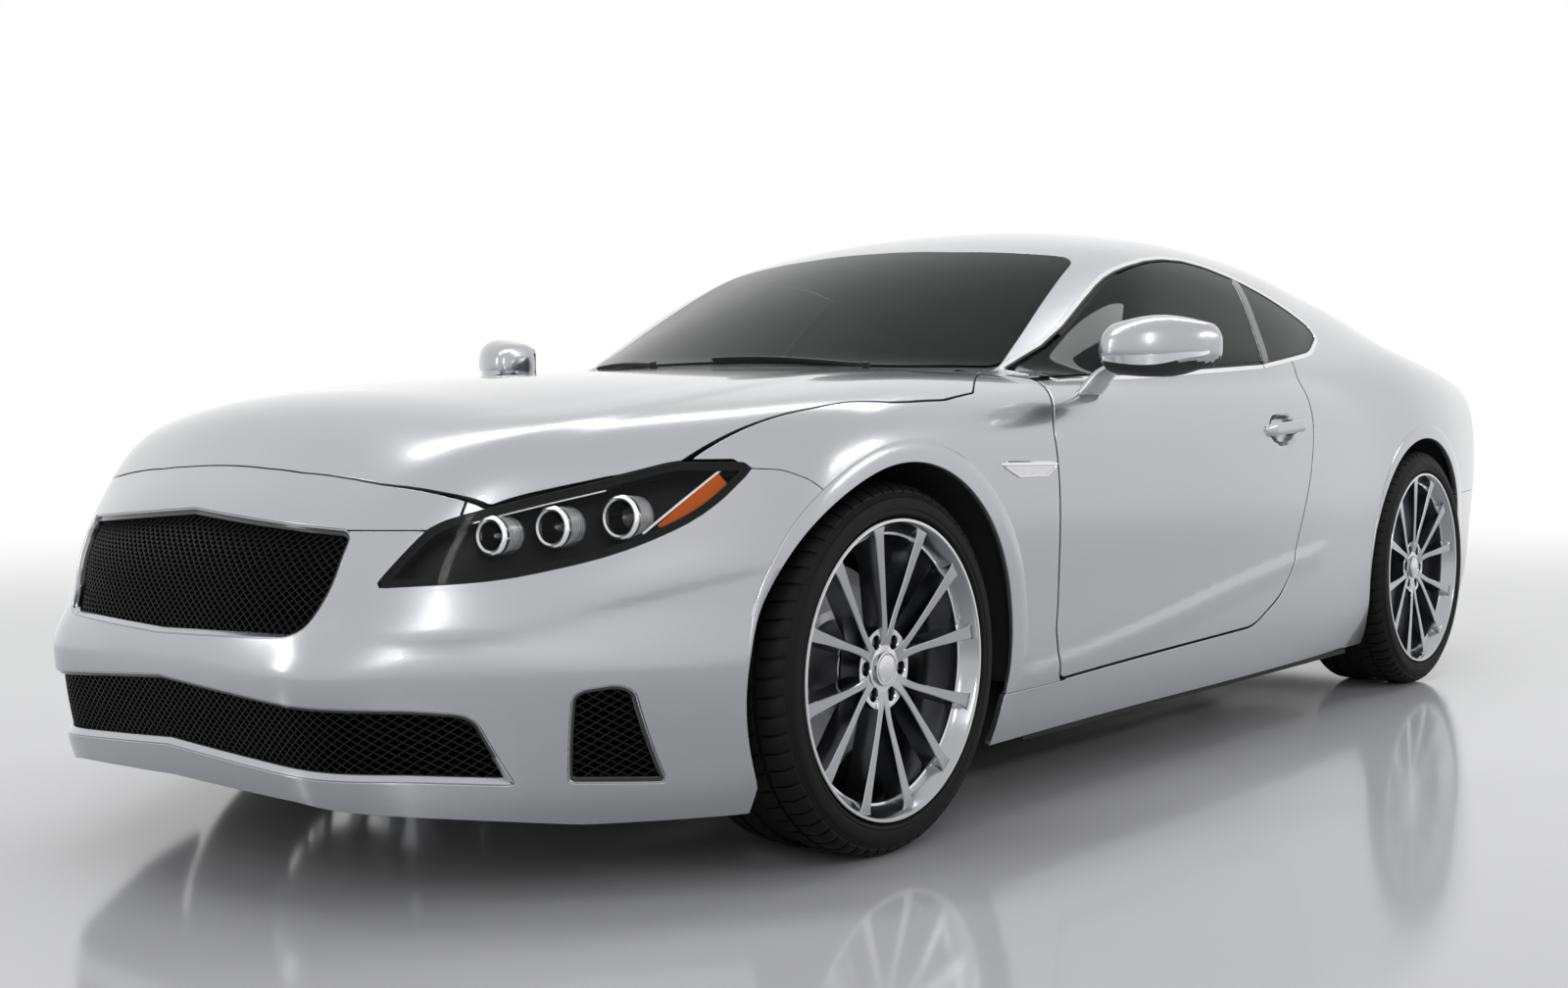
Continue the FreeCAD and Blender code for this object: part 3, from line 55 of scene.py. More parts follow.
# %% Smooth curves and soft corners
def curve_through(rows):
    """A natural cubic through the rows, carried on straight past both ends, for whole arrays at once."""
    xs, ys = np.array(sorted(rows), float).T
    spans = np.diff(xs)
    count = len(xs)
    system = np.eye(count)
    target = np.zeros(count)
    for i in range(1, count - 1):
        system[i, i - 1:i + 2] = spans[i - 1], 2 * (spans[i - 1] + spans[i]), spans[i]
        target[i] = 6 * ((ys[i + 1] - ys[i]) / spans[i] - (ys[i] - ys[i - 1]) / spans[i - 1])
    bend = np.linalg.solve(system, target)
    first = (ys[1] - ys[0]) / spans[0] - spans[0] * bend[1] / 6
    last = (ys[-1] - ys[-2]) / spans[-1] + spans[-1] * bend[-2] / 6

    def value(x):
        i = np.clip(np.searchsorted(xs, x) - 1, 0, count - 2)
        span = spans[i]
        a = (xs[i + 1] - x) / span
        b = 1 - a
        bow = a * (a * a - 1) * bend[i] + b * (b * b - 1) * bend[i + 1]
        inner = a * ys[i] + b * ys[i + 1] + bow * span ** 2 / 6
        inner = np.where(x <= xs[0], ys[0] + first * (x - xs[0]), inner)
        return np.where(x >= xs[-1], ys[-1] + last * (x - xs[-1]), inner)
    return value


def curves_through(rows):
    """A curve for each column after the first."""
    return [curve_through([(row[0], row[k]) for row in rows]) for k in range(1, len(rows[0]))]


def soft_max(a, b, width):
    near = np.maximum(width - np.abs(a - b), 0) / width
    return np.maximum(a, b) + near ** 3 * width / 6


def soft_min(a, b, width):
    return -soft_max(-a, -b, width)


def ease(t):
    t = np.clip(t, 0, 1)
    return t * t * (3 - 2 * t)


# %% The curves that draw the car
HALF_WIDTH = 940
ROOF_HEIGHT = 1335
CREST_OUT = 800          # half-width of the fender crests
BELT = 930               # height where cabin and shoulders meet
GLASS_LEAN = math.tan(math.radians(31))
SCREEN_BOW = 420         # how far the windscreen sweeps back a metre off the middle
# x, how far the side lies inside HALF_WIDTH
waist = curve_through([(-2420, 215), (-2150, 150), (-1850, 88), (-1580, 48), (-1315, 36), (-1000, 42), (-600, 34),
                       (-100, 27), (400, 30), (900, 24), (1200, 14), (1435, 6), (1620, 10), (1800, 32),
                       (1950, 76), (2100, 142), (2300, 252)])
# z, how far the side tucks in
tuck = curve_through([(100, 85), (150, 58), (200, 38), (270, 20), (350, 12), (450, 8), (560, 2), (640, 0),
                      (720, 3), (790, 12), (850, 32), (900, 60), (960, 105), (1020, 160)])
# x, height of hood and deck on the middle line
ridge = curve_through([(2440, 560), (2360, 669), (2265, 742), (2170, 826), (2100, 860), (1950, 880), (1780, 894),
                       (1430, 916), (1100, 930), (800, 938), (400, 945), (-500, 950), (-1200, 955), (-1800, 950),
                       (-2100, 940), (-2380, 912)])
# x, height of fender crest, belt and haunch
crest = curve_through([(2440, 380), (2260, 560), (2110, 680), (1950, 765), (1800, 820), (1600, 866), (1435, 888),
                       (1100, 902), (760, 905), (300, 922), (-390, 950), (-900, 965), (-1315, 965), (-1700, 945),
                       (-2100, 905), (-2400, 860)])
# z, where the nose and the tail end on the middle line
nose_line = curve_through([(120, 2350), (190, 2380), (245, 2395), (350, 2412), (410, 2415), (460, 2411),
                           (560, 2396), (669, 2360), (742, 2330), (900, 2250)])
tail_line = curve_through([(120, -2215), (250, -2305), (400, -2360), (560, -2400), (700, -2415), (800, -2409),
                           (900, -2402), (960, -2397)])
# x, how far windscreen, roof and backlight lie below ROOF_HEIGHT
roof_fall = curve_through([(1000, 420), (950, 397), (800, 325), (600, 229), (400, 143), (300, 105), (150, 59),
                           (0, 31), (-250, 6), (-500, 0), (-750, 9), (-1000, 35), (-1300, 87), (-1600, 163),
                           (-1900, 263), (-2150, 363), (-2400, 475)])
# x, how far the roof falls a metre off the middle
crown = curve_through([(1000, 105), (800, 110), (160, 125), (-250, 200), (-700, 280), (-1100, 315), (-2000, 300)])
# x, half-width of the cabin at the belt
cabin = curve_through([(1100, 790), (750, 822), (300, 848), (-100, 850), (-390, 843), (-650, 828), (-900, 800),
                       (-1200, 752), (-1500, 690), (-1800, 612), (-2100, 520), (-2400, 420)])
# distance off the middle, how far headlamps and hood front are swept back
sweep = curve_through([(0, 0), (150, 4), (300, 32), (450, 105), (560, 215), (670, 365), (770, 490), (860, 592),
                       (950, 690)])


# %% Creases and lips pressed into the panels
ARCH_RADIUS = 388
HANDLE_X, HANDLE_Z = -279, 778                # middle of the dish behind the door handle
# distance off the middle, height of the bumper's crease
bumper_crease = curve_through([(340, 492), (396, 489), (582, 478), (718, 528), (843, 573), (900, 592)])
# x, height of the crease low on the doors
door_crease = curve_through([(1060, 282), (980, 287), (544, 324), (-107, 408), (-392, 438), (-600, 458)])
# x, distance off the middle of the hood's crease
hood_crease = curve_through([(2234, 409), (2170, 473), (2096, 520), (1929, 584), (1741, 640), (1560, 655),
                             (1373, 650), (1100, 615), (900, 580)])


def ridge_over(away, sharp_side, soft_side):
    """1 on a line, falling off quickly on one side of it and slowly on the other."""
    quick = ease(1 + away / sharp_side)
    slow = ease(1 - away / soft_side)
    return np.where(away < 0, quick, slow)


def relief(p):
    """How far creases and lips stand out of the plain form."""
    x, y, z = p[..., 0], p[..., 1], p[..., 2]
    out = np.abs(y)
    raised = 0 * x
    low = ease((out - 380) / 60) * ease((900 - out) / 60) * ease((x - 1500) / 60)
    raised = raised + 5 * low * ridge_over(z - bumper_crease(out), 34, 70)
    on_side = ease((out - 780) / 60)
    along = ease((1030 - x) / 90) * ease((x + 640) / 240)
    raised = raised + 4 * on_side * along * ridge_over(z - door_crease(x), 60, 30)
    on_top = ease((z - 640) / 40) * ease((2250 - x) / 160) * ease((x - 880) / 500)
    raised = raised + 3 * on_top * ridge_over(out - hood_crease(x), 120, 40)
    dish = ((x - HANDLE_X) / 88) ** 2 + ((z - HANDLE_Z) / 46) ** 2
    raised = raised - 14 * on_side * ease((1 - dish) / 0.7)
    return raised


# %% The formula itself
def field(p):
    """Below zero inside the car, for an array of points."""
    x, y, z = p[..., 0], p[..., 1], p[..., 2]
    out = np.abs(y)
    rise = crest(x) - ridge(x)
    top = z - ridge(x) - rise * np.minimum(out / CREST_OUT, 1.3) ** 2.2
    side = out - (HALF_WIDTH - waist(x)) + tuck(z)
    lower = soft_max(top, side, 130)
    bowed = x + ease((x + 300) / 900) * SCREEN_BOW * (out / 1000) ** 2
    cap = z - (ROOF_HEIGHT - roof_fall(bowed)) + crown(x) * (out / 1000) ** 2
    lean = soft_max((z - BELT) * GLASS_LEAN, (BELT - z) * 0.5, 80)
    dome = soft_max(cap, (out - cabin(x) + lean) * 0.86, 150)
    shape = soft_min(lower, dome, 40 + 330 * ease((-500 - x) / 900))
    folded = 90 * (out / 1000) ** 2 + 1.11 * soft_max(out - 400, 0, 120)
    upper = ease((z - 400) / 110)
    nose = x - nose_line(z) + sweep(out) * upper + folded * (1 - upper)
    tail = tail_line(z) + 420 * (out / 860) ** 3.2 - x
    return soft_max(soft_max(shape, nose, 160), tail, 120) - relief(p)


def slopes(p):
    """Unit normals of the form."""
    g = np.empty_like(p)
    for axis in range(3):
        step = np.zeros(3)
        step[axis] = 1.5
        g[..., axis] = field(p + step) - field(p - step)
    return g / np.linalg.norm(g, axis=-1, keepdims=True)


def cast(start, way, reach=1800.0, strides=36):
    """Where rays first leave the form."""
    start, way = np.broadcast_arrays(np.asarray(start, float), np.asarray(way, float))
    near = np.zeros(start.shape[:-1])
    inside = np.ones(near.shape, bool)
    stride = reach / strides
    for i in range(1, strides + 1):
        inside &= field(start + way * (i * stride)) < 0
        near[inside] = i * stride
    far = near + stride
    for _ in range(22):
        middle = (near + far) / 2
        within = field(start + way * middle[..., None]) < 0
        near = np.where(within, middle, near)
        far = np.where(within, far, middle)
    return start + way * near[..., None]


def settle(p, rounds=3):
    """Moves points that lie near the form onto it."""
    for _ in range(rounds):
        p = p - slopes(p) * field(p)[..., None]
    return p


widest = cast([1435.0, 0, 640], [0, 1.0, 0])
print("half-width over the front axle", round(float(widest[1]), 1))

# %% [markdown]
# ## Cutting panels from the form
# A panel begins as a fine grid on the form. Outlines drawn from the side, from above or from the front are then
# cut into it exactly, as shut lines are on the real body. Cutting by a signed distance keeps the quads of the
# grid and only trims the cells that the line crosses, which a boolean would not do as cleanly.

# %% Outlines of lines and arcs
def outline(rows):
    """A closed loop of 2-D points; rows hold two coordinates and the corner's radius."""
    rows = [np.array(row, float) for row in rows]
    loop = []
    for i, (a, b, radius) in enumerate(rows):
        here = np.array([a, b])
        if not radius:
            loop.append(here)
            continue
        back = rows[i - 1][:2] - here
        ahead = rows[(i + 1) % len(rows)][:2] - here
        far_back, far_ahead = np.linalg.norm(back), np.linalg.norm(ahead)
        back, ahead = back / far_back, ahead / far_ahead
        half = math.acos(max(-1, min(1, back @ ahead))) / 2
        reach = min(radius / math.tan(half), 0.49 * far_back, 0.49 * far_ahead)
        radius = reach * math.tan(half)
        bisector = (back + ahead) / np.linalg.norm(back + ahead)
        centre = here + bisector * radius / math.sin(half)
        start = math.atan2(*(here + back * reach - centre)[::-1])
        turn = math.atan2(*(here + ahead * reach - centre)[::-1]) - start
        turn = (turn + math.pi) % (2 * math.pi) - math.pi
        steps = max(2, int(abs(turn) / 0.08))
        for k in range(steps + 1):
            angle = start + turn * k / steps
            loop.append(centre + radius * np.array([math.cos(angle), math.sin(angle)]))
    return np.array(loop)


FAR = 80.0               # points further than this from an outline's box are not measured


def loop_distance(loop, points):
    """Signed distance of 2-D points from a loop, below zero inside it."""
    low, high = loop.min(0) - FAR, loop.max(0) + FAR
    close = np.all((points > low) & (points < high), axis=1)
    result = np.full(len(points), FAR)
    q = points[close]
    best = np.full(len(q), 1e18)
    odd = np.zeros(len(q), bool)
    for a, b in zip(loop, np.roll(loop, -1, axis=0)):
        along = b - a
        size = along @ along
        if size < 1e-12:
            continue
        t = np.clip((q - a) @ along / size, 0, 1)
        gap = q - a - t[:, None] * along
        best = np.minimum(best, (gap * gap).sum(1))
        if a[1] != b[1]:
            crosses = (a[1] > q[:, 1]) != (b[1] > q[:, 1])
            odd ^= crosses & (q[:, 0] < a[0] + (q[:, 1] - a[1]) * along[0] / (b[1] - a[1]))
    result[close] = np.where(odd, -1, 1) * np.sqrt(best)
    return result


VIEWS = {"side": (0, 2), "plan": (0, 1), "front": (1, 2)}


def shape_in(view, rows, where=None):
    """How far points lie outside an outline seen in one view; both sides of the car are taken as the left one."""
    loop = outline(rows)
    columns = VIEWS[view]

    def measure(p):
        folded = np.stack([p[:, 0], np.abs(p[:, 1]), p[:, 2]], 1)
        value = loop_distance(loop, folded[:, columns])
        return value if where is None else np.maximum(value, where(folded))
    return measure


# %% Sheets of the form, and how they are cut
def grid_sheet(points):
    """Points and quads of a grid, turned to face outwards."""
    rows, columns = points.shape[:2]
    index = np.arange(rows * columns).reshape(rows, columns)
    quads = np.stack([index[:-1, :-1], index[1:, :-1], index[1:, 1:], index[:-1, 1:]], -1).reshape(-1, 4)
    flat = points.reshape(-1, 3)
    middle = quads[len(quads) // 2]
    normal = np.cross(flat[middle[1]] - flat[middle[0]], flat[middle[2]] - flat[middle[0]])
    if normal @ slopes(flat[middle[0]][None])[0] < 0:
        quads = quads[:, ::-1]
    return flat, [tuple(quad) for quad in quads.tolist()]


SNAP = 0.22              # a cut this near a corner of the grid, as a share of the edge, moves the corner instead


def keep(sheet, measure, margin=0.0):
    """The part of a sheet where the measure plus the margin is below zero, with an even border."""
    points, faces = sheet
    value = measure(points) + margin
    edges = {(min(i, j), max(i, j)) for face in faces for i, j in zip(face, face[1:] + face[:1])}
    edges = np.array([edge for edge in edges if (value[edge[0]] < 0) != (value[edge[1]] < 0)], int).reshape(-1, 2)
    if not len(edges):
        return (points, faces) if value[0] < 0 else (points[:0], [])
    a, b = points[edges[:, 0]], points[edges[:, 1]]
    va, vb = value[edges[:, 0]], value[edges[:, 1]]
    ta, tb = np.zeros(len(edges)), np.ones(len(edges))
    for _ in range(6):
        t = ta + (tb - ta) * np.clip(va / (va - vb), 0.02, 0.98)
        middle = settle(a + (b - a) * t[:, None])
        vm = measure(middle) + margin
        same = (vm < 0) == (va < 0)
        ta, va = np.where(same, t, ta), np.where(same, vm, va)
        tb, vb = np.where(same, tb, t), np.where(same, vb, vm)
    sign = np.where(value < 0, -1, 1)
    snapped = {}
    for n, (i, j) in enumerate(edges.tolist()):
        if t[n] < SNAP:
            snapped.setdefault(i, []).append(n)
        elif t[n] > 1 - SNAP:
            snapped.setdefault(j, []).append(n)
    points = np.vstack([points, middle])
    for i, found in snapped.items():
        points[i] = middle[found].mean(0)
        sign[i] = 0
    cut_at = {edge: len(value) + n for n, edge in enumerate(map(tuple, edges.tolist()))}
    sign = sign.tolist()
    kept = []
    for face in faces:
        held = [sign[i] for i in face]
        if min(held) >= 0:
            continue
        if max(held) <= 0:
            kept.append(face)
            continue
        trimmed = []
        for k, i in enumerate(face):
            j = face[(k + 1) % len(face)]
            if sign[i] <= 0:
                trimmed.append(i)
            if sign[i] * sign[j] < 0:
                trimmed.append(cut_at[(i, j) if i < j else (j, i)])
        if len(trimmed) > 2:
            kept.append(tuple(trimmed))
    used = sorted({i for face in kept for i in face})
    renumber = {old: new for new, old in enumerate(used)}
    return points[used], [tuple(renumber[i] for i in face) for face in kept]


def cut(sheet, measure, margin=0.0):
    return keep(sheet, lambda p: -measure(p), margin)


# %% [markdown]
# ## Rolled edges
# A pressed panel does not end in a knife edge: its rim is folded over a small radius. That curl is what catches
# a thin light line along every shut gap. Each panel is therefore trimmed a little small, and a quarter-round is
# run on round its whole border before the rim goes down and the inner face closes it.

# %% Finish a sheet as a panel
def border(faces):
    """Border edges of a sheet, in the direction of their faces."""
    edges = {}
    for face in faces:
        for k, i in enumerate(face):
            edges[(i, face[(k + 1) % len(face)])] = True
    return [(i, j) for i, j in edges if (j, i) not in edges]


def outward_at_border(points, normals, rim):
    """For each border point, the direction in the sheet that leads out of it."""
    total = {}
    for i, j in rim:
        along = points[j] - points[i]
        size = np.linalg.norm(along)
        if size < 1e-9:
            continue
        out = np.cross(along / size, normals[i])
        for k in (i, j):
            total.setdefault(k, []).append(out)
    result = {}
    for k, outs in total.items():
        mean = np.mean(outs, axis=0)
        size = np.linalg.norm(mean)
        result[k] = mean / max(size, 1e-9) / max(size, 0.5)
    return result


def finish(name, sheet, thick, material, body, hem=1.6, inner=None, sunk=0.0):
    """A closed panel from a sheet that was trimmed small by its hem."""
    points, faces = sheet
    normals = slopes(points)
    points = points - normals * sunk
    rim = border(faces)
    outs = outward_at_border(points, normals, rim)
    ring_ids = sorted(outs)
    at = {k: n for n, k in enumerate(ring_ids)}
    edge = points[ring_ids]
    up = normals[ring_ids]
    out = np.array([outs[k] for k in ring_ids])
    back = inner if inner is not None else (lambda p, n: p - n * thick)
    all_points, all_normals, rings = [points], [normals], []
    count = len(points)
    for degrees in (35, 65, 90):
        a = math.radians(degrees)
        all_points.append(edge + out * hem * math.sin(a) - up * hem * (1 - math.cos(a)))
        all_normals.append(up * math.cos(a) + out * math.sin(a))
        rings.append(count)
        count += len(edge)
    depth = back(edge, up) + out * hem
    all_points.append(depth)
    all_normals.append(out)
    rings.append(count)
    count += len(edge)
    all_points.append(back(points, normals))
    all_normals.append(-normals)
    inside_start = count
    all_faces = list(faces)
    for i, j in rim:
        if i not in at or j not in at:
            continue
        chain = [(i, j)] + [(start + at[i], start + at[j]) for start in rings]
        chain.append((inside_start + i, inside_start + j))
        for (a, b), (c, d) in zip(chain, chain[1:]):
            all_faces.append((b, a, c, d))
    all_faces += [tuple(inside_start + i for i in reversed(face)) for face in faces]
    return make_piece(name, np.vstack(all_points), all_faces, material, body, np.vstack(all_normals))


def new_object(name, data):
    thing = bpy.data.objects.new(name, data)
    bpy.context.scene.collection.objects.link(thing)
    return thing


def make_piece(name, points, faces, material, body, normals=None):
    """A Blender object from millimetre points, riding on one body."""
    mesh = bpy.data.meshes.new(name)
    mesh.from_pydata((np.asarray(points) * MM).tolist(), [], [tuple(face) for face in faces])
    mesh.polygons.foreach_set("use_smooth", [True] * len(mesh.polygons))
    if normals is not None:
        lengths = np.maximum(np.linalg.norm(normals, axis=1, keepdims=True), 1e-9)
        mesh.normals_split_custom_set_from_vertices((normals / lengths).tolist())
    mesh.update()
    mesh.materials.append(material)
    piece = new_object(name, mesh)
    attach(piece, body)
    return piece


def flipped(shape):
    """The mirror image on the car's other side."""
    return np.asarray(shape[0], float) * [1, -1, 1], [tuple(reversed(face)) for face in shape[1]]


HANDS = (("left", lambda shape: shape), ("right", flipped))


# %% [markdown]
# ## Finishes
# Every finish is built from a few noise and voronoi nodes on the Principled shader. Metallic paint needs three
# things: a silver flake whose tint changes a little from spot to spot, a clear coat above it, and a very faint
# ripple, because real paint is never a perfect mirror. Moulded plastic, rubber and leather get their grain
# from bump at the size that the real grain has.

# %% Helpers that build procedural finishes
def add(tree, kind, **values):
    """A new node, with input sockets set by their names."""
    node = tree.nodes.new(kind)
    for socket, value in values.items():
        node.inputs[socket.replace("_", " ")].default_value = value
    return node


def wire(tree, *rows):
    """Links; each row is a node, its output, the next node and its input."""
    for source, output, target, entry in rows:
        tree.links.new(source.outputs[output], target.inputs[entry])


def mottled(name, dark, light, polish, scale, detail=2, ends=(0, 1), **sockets):
    """A Principled material whose colour and roughness both follow one noise."""
    material = bpy.data.materials.new(name)
    material.use_nodes = True
    tree = material.node_tree
    shader = tree.nodes["Principled BSDF"]
    for socket, value in sockets.items():
        shader.inputs[socket.replace("_", " ")].default_value = value
    place = add(tree, "ShaderNodeTexCoord")
    mottle = add(tree, "ShaderNodeTexNoise", Scale=scale, Detail=detail)
    tint = add(tree, "ShaderNodeValToRGB")
    for element, end, colour in zip(tint.color_ramp.elements, ends, (dark, light)):
        element.position = end
        element.color = (*colour, 1)
    gloss = add(tree, "ShaderNodeMapRange", To_Min=polish[0], To_Max=polish[1])
    wire(tree, (place, "Object", mottle, "Vector"), (mottle, "Fac", tint, "Fac"),
         (tint, "Color", shader, "Base Color"), (mottle, "Fac", gloss, "Value"),
         (gloss, "Result", shader, "Roughness"))
    return material, tree, shader, place


def finish_material(name, colour, roughness=0.5, metallic=0.0, vary=0.08, scale=40.0, bump=0.0, bump_scale=900.0,
                    cells=False, **sockets):
    """A mottled material with grain, and any other socket set by its name."""
    dark = [c * (1 - vary) for c in colour]
    light = [min(1, c * (1 + vary)) for c in colour]
    polish = max(0.0, roughness * 0.85), min(1.0, roughness * 1.15)
    material, tree, shader, place = mottled(name, dark, light, polish, scale, 4, (0.3, 0.7), Metallic=metallic,
                                            **sockets)
    if bump:
        grain = add(tree, "ShaderNodeTexVoronoi" if cells else "ShaderNodeTexNoise", Scale=bump_scale)
        ridges = add(tree, "ShaderNodeBump", Strength=bump, Distance=0.0005)
        wire(tree, (place, "Object", grain, "Vector"), (grain, 0, ridges, "Height"),
             (ridges, "Normal", shader, "Normal"))
    return material


# %% Paint, glass, plastics, metals and leather
silver_paint = finish_material("silver_paint", (0.43, 0.438, 0.458), 0.25, 0.85, vary=0.03, scale=900,
                               bump=0.02, bump_scale=3000, Coat_Weight=0.9, Coat_Roughness=0.04, Coat_IOR=1.5)
black_plastic = finish_material("black_plastic", (0.013, 0.013, 0.014), 0.55, bump=0.25, bump_scale=1400)
gloss_black = finish_material("gloss_black", (0.008, 0.008, 0.009), 0.12, vary=0.15, Coat_Weight=0.6,
                              Coat_Roughness=0.03)
window_rubber = finish_material("window_rubber", (0.012, 0.012, 0.012), 0.62, bump=0.15, bump_scale=2500)
lamp_black = finish_material("lamp_black", (0.004, 0.004, 0.0045), 0.3, vary=0.1, Specular_IOR_Level=0.15)
net_black = finish_material("net_black", (0.006, 0.006, 0.007), 0.42, vary=0.15, scale=60, Specular_IOR_Level=0.22)
duct_black = finish_material("duct_black", (0.002, 0.002, 0.002), 0.9, vary=0.2, bump=0.2, Specular_IOR_Level=0.05)
chrome = finish_material("chrome", (0.82, 0.82, 0.83), 0.07, 1.0, vary=0.02)
satin_trim = finish_material("satin_trim", (0.62, 0.62, 0.63), 0.22, 1.0, vary=0.03)
alloy = finish_material("wheel_alloy", (0.38, 0.385, 0.40), 0.18, 1.0, vary=0.02, scale=8, Coat_Weight=0.5,
                        Coat_Roughness=0.05)
cast_metal = finish_material("cast_metal", (0.30, 0.30, 0.31), 0.5, 0.9, bump=0.4, bump_scale=700)
forged_metal = finish_material("forged_metal", (0.11, 0.11, 0.115), 0.5, 0.8, bump=0.3, bump_scale=600)
pipe_metal = finish_material("pipe_metal", (0.42, 0.40, 0.38), 0.32, 1.0, vary=0.15, scale=25, bump=0.1)
underseal = finish_material("underseal", (0.018, 0.018, 0.019), 0.85, bump=0.6, bump_scale=420)
seat_hide = finish_material("seat_hide", (0.16, 0.155, 0.15), 0.45, bump=0.5, bump_scale=650, cells=True,
                            vary=0.12, scale=14, Sheen_Weight=0.1)
dark_hide = finish_material("dark_hide", (0.022, 0.022, 0.023), 0.5, bump=0.45, bump_scale=800, cells=True,
                            vary=0.15, scale=18)
amber = finish_material("amber_lens", (1.0, 0.17, 0.002), 0.25, vary=0.06, scale=120, Coat_Weight=0.1,
                        Specular_IOR_Level=0.2)
red_lens = finish_material("red_lens", (0.30, 0.004, 0.006), 0.12, vary=0.12, scale=150, bump=0.3,
                           bump_scale=260, Coat_Weight=0.3, Coat_Roughness=0.02)
tyre_rubber = finish_material("tyre_rubber", (0.006, 0.006, 0.0065), 0.62, vary=0.15, scale=30, bump=0.3,
                              bump_scale=900, Specular_IOR_Level=0.18)

# %% Disc steel carries fine streaks from the lathe
disc_steel = finish_material("disc_steel", (0.33, 0.33, 0.34), 0.34, 1.0, vary=0.12, scale=12)
tree = disc_steel.node_tree
place = add(tree, "ShaderNodeTexCoord")
stretch = add(tree, "ShaderNodeMapping", Scale=(600, 20, 600))
streaks = add(tree, "ShaderNodeTexNoise", Scale=1.0)
ridges = add(tree, "ShaderNodeBump", Strength=0.15, Distance=0.0003)
wire(tree, (place, "Object", stretch, "Vector"), (stretch, "Vector", streaks, "Vector"),
     (streaks, "Fac", ridges, "Height"), (ridges, "Normal", tree.nodes["Principled BSDF"], "Normal"))


# %% Glass is a thin tinted pane: a transmitting shader would cost too much light behind two panes
def pane(name, tint, clear, gloss):
    """Part clear, part gloss; the clear share carries the tint."""
    return mottled(name, [c * 0.94 for c in tint], tint, (0.02, 0.03), 6, IOR=1.45, Specular_IOR_Level=gloss,
                   Alpha=1 - clear)[0]


tinted_glass = pane("tinted_glass", (0.006, 0.010, 0.0095), 0.24, 0.13)
clear_lens = pane("clear_lens", (0.03, 0.031, 0.033), 0.9, 0.4)
mirror_glass = finish_material("mirror_glass", (0.75, 0.77, 0.79), 0.03, 1.0, vary=0.02)
print("finishes", len(bpy.data.materials))

# %% [markdown]
# ## Master grids
# Each region of the body gets a grid that follows its own flow: rings around the car for roof, sides and doors,
# rays from a point behind the nose for bumper and lamps, and a sheet seen from above for hood and glass. A grid
# of about 12 mm holds the curves, because its normals come from the formula and not from the facets.

# %% Grids on the form
PITCH = 12
NOSE_CENTRE, TAIL_CENTRE = 1500, -1400       # x of the upright lines where rays to nose and tail start


def steps(a, b, size):
    return np.linspace(a, b, max(2, int(round(abs(b - a) / size)) + 1))


def turns(a, b, reach, pitch=PITCH):
    """Angles between two given in degrees, a pitch apart at that reach."""
    return np.radians(steps(a, b, pitch * 180 / math.pi / reach))


def section_grid(x_from, x_to, low_deg, high_deg):
    """Rings about the car's length, from the side's foot over the roof."""
    x, a = np.meshgrid(steps(x_from, x_to, PITCH), turns(low_deg, high_deg, 880), indexing="ij")
    return grid_sheet(cast(np.stack([x, 0 * x, 0 * x + 500], -1), np.stack([0 * x, np.cos(a), np.sin(a)], -1)))


def side_grid(x_from, x_to, z_from, z_to):
    x, z = np.meshgrid(steps(x_from, x_to, PITCH), steps(z_from, z_to, PITCH), indexing="ij")
    return grid_sheet(cast(np.stack([x, 0 * x, z], -1), [0, 1.0, 0]))


def round_grid(x_centre, degrees, heights, reach, way=1, pitch=PITCH):
    """Level rays from an upright line, forwards or backwards."""
    a, z = np.meshgrid(turns(*degrees, reach, pitch), steps(*heights, pitch), indexing="ij")
    start = np.stack([0 * a + x_centre, 0 * a, z], -1)
    return grid_sheet(cast(start, np.stack([way * np.cos(a), np.sin(a), 0 * a], -1)))


# %% [markdown]
# ## The shut lines
# The outlines of doors, hood, windows and lamps are drawn where a designer draws them: doors and side glass
# from the side, hood, windscreen and boot from above, grille and lamps from the front. The gap round doors and
# boot lid is 6 mm, the hood's is finer, and panels that are bolted together touch in a fine groove.

# %% Outlines of panels, windows and lamps
def two_sided(rows, across):
    """Rows down one side of the middle and back up the other."""
    back = [tuple(-v if i == across else v for i, v in enumerate(row)) for row in reversed(rows) if row[across] > 0]
    return rows + back


DOOR = [(790, 896, 8), (874, 800, 60), (868, 700, 0), (858, 430, 300), (862, 372, 40), (834, 266, 12),
        (-120, 288, 200), (-320, 372, 220), (-442, 660, 400), (-536, 962, 14), (-300, 947, 0), (772, 897, 0)]
SIDE_WINDOWS = [(772, 897, 12), (560, 975, 1300), (346, 1095, 2500), (205, 1165, 640), (20, 1206, 1150),
                (-200, 1222, 1000), (-470, 1184, 1700), (-730, 1108, 1400), (-880, 1046, 22), (-700, 988, 300),
                (-300, 947, 0)]
POST = [(-285, 900, 0), (-490, 1260, 0), (-530, 1260, 0), (-325, 900, 0)]
BUMPER_ZONE = [(1500, 0, 0), (2700, 0, 0), (2700, 752, 0), (1790, 752, 0), (1780, 736, 0), (1731, 733, 60),
               (1692, 715, 60), (1650, 676, 0), (1500, 600, 0)]
REAR_BUMPER_ZONE = [(-1500, 0, 0), (-2700, 0, 0), (-2700, 640, 0), (-2180, 640, 0), (-2060, 560, 60),
                    (-1660, 560, 0), (-1500, 500, 0)]
TAIL_LAMP_SIDE = [(-2010, 850, 20), (-2600, 930, 0), (-2600, 700, 0), (-2120, 736, 20)]
WINDSCREEN = two_sided([(262, 0, 0), (250, 220, 300), (178, 558, 50), (692, 652, 60), (862, 420, 500),
                        (956, 0, 1200)], 1)
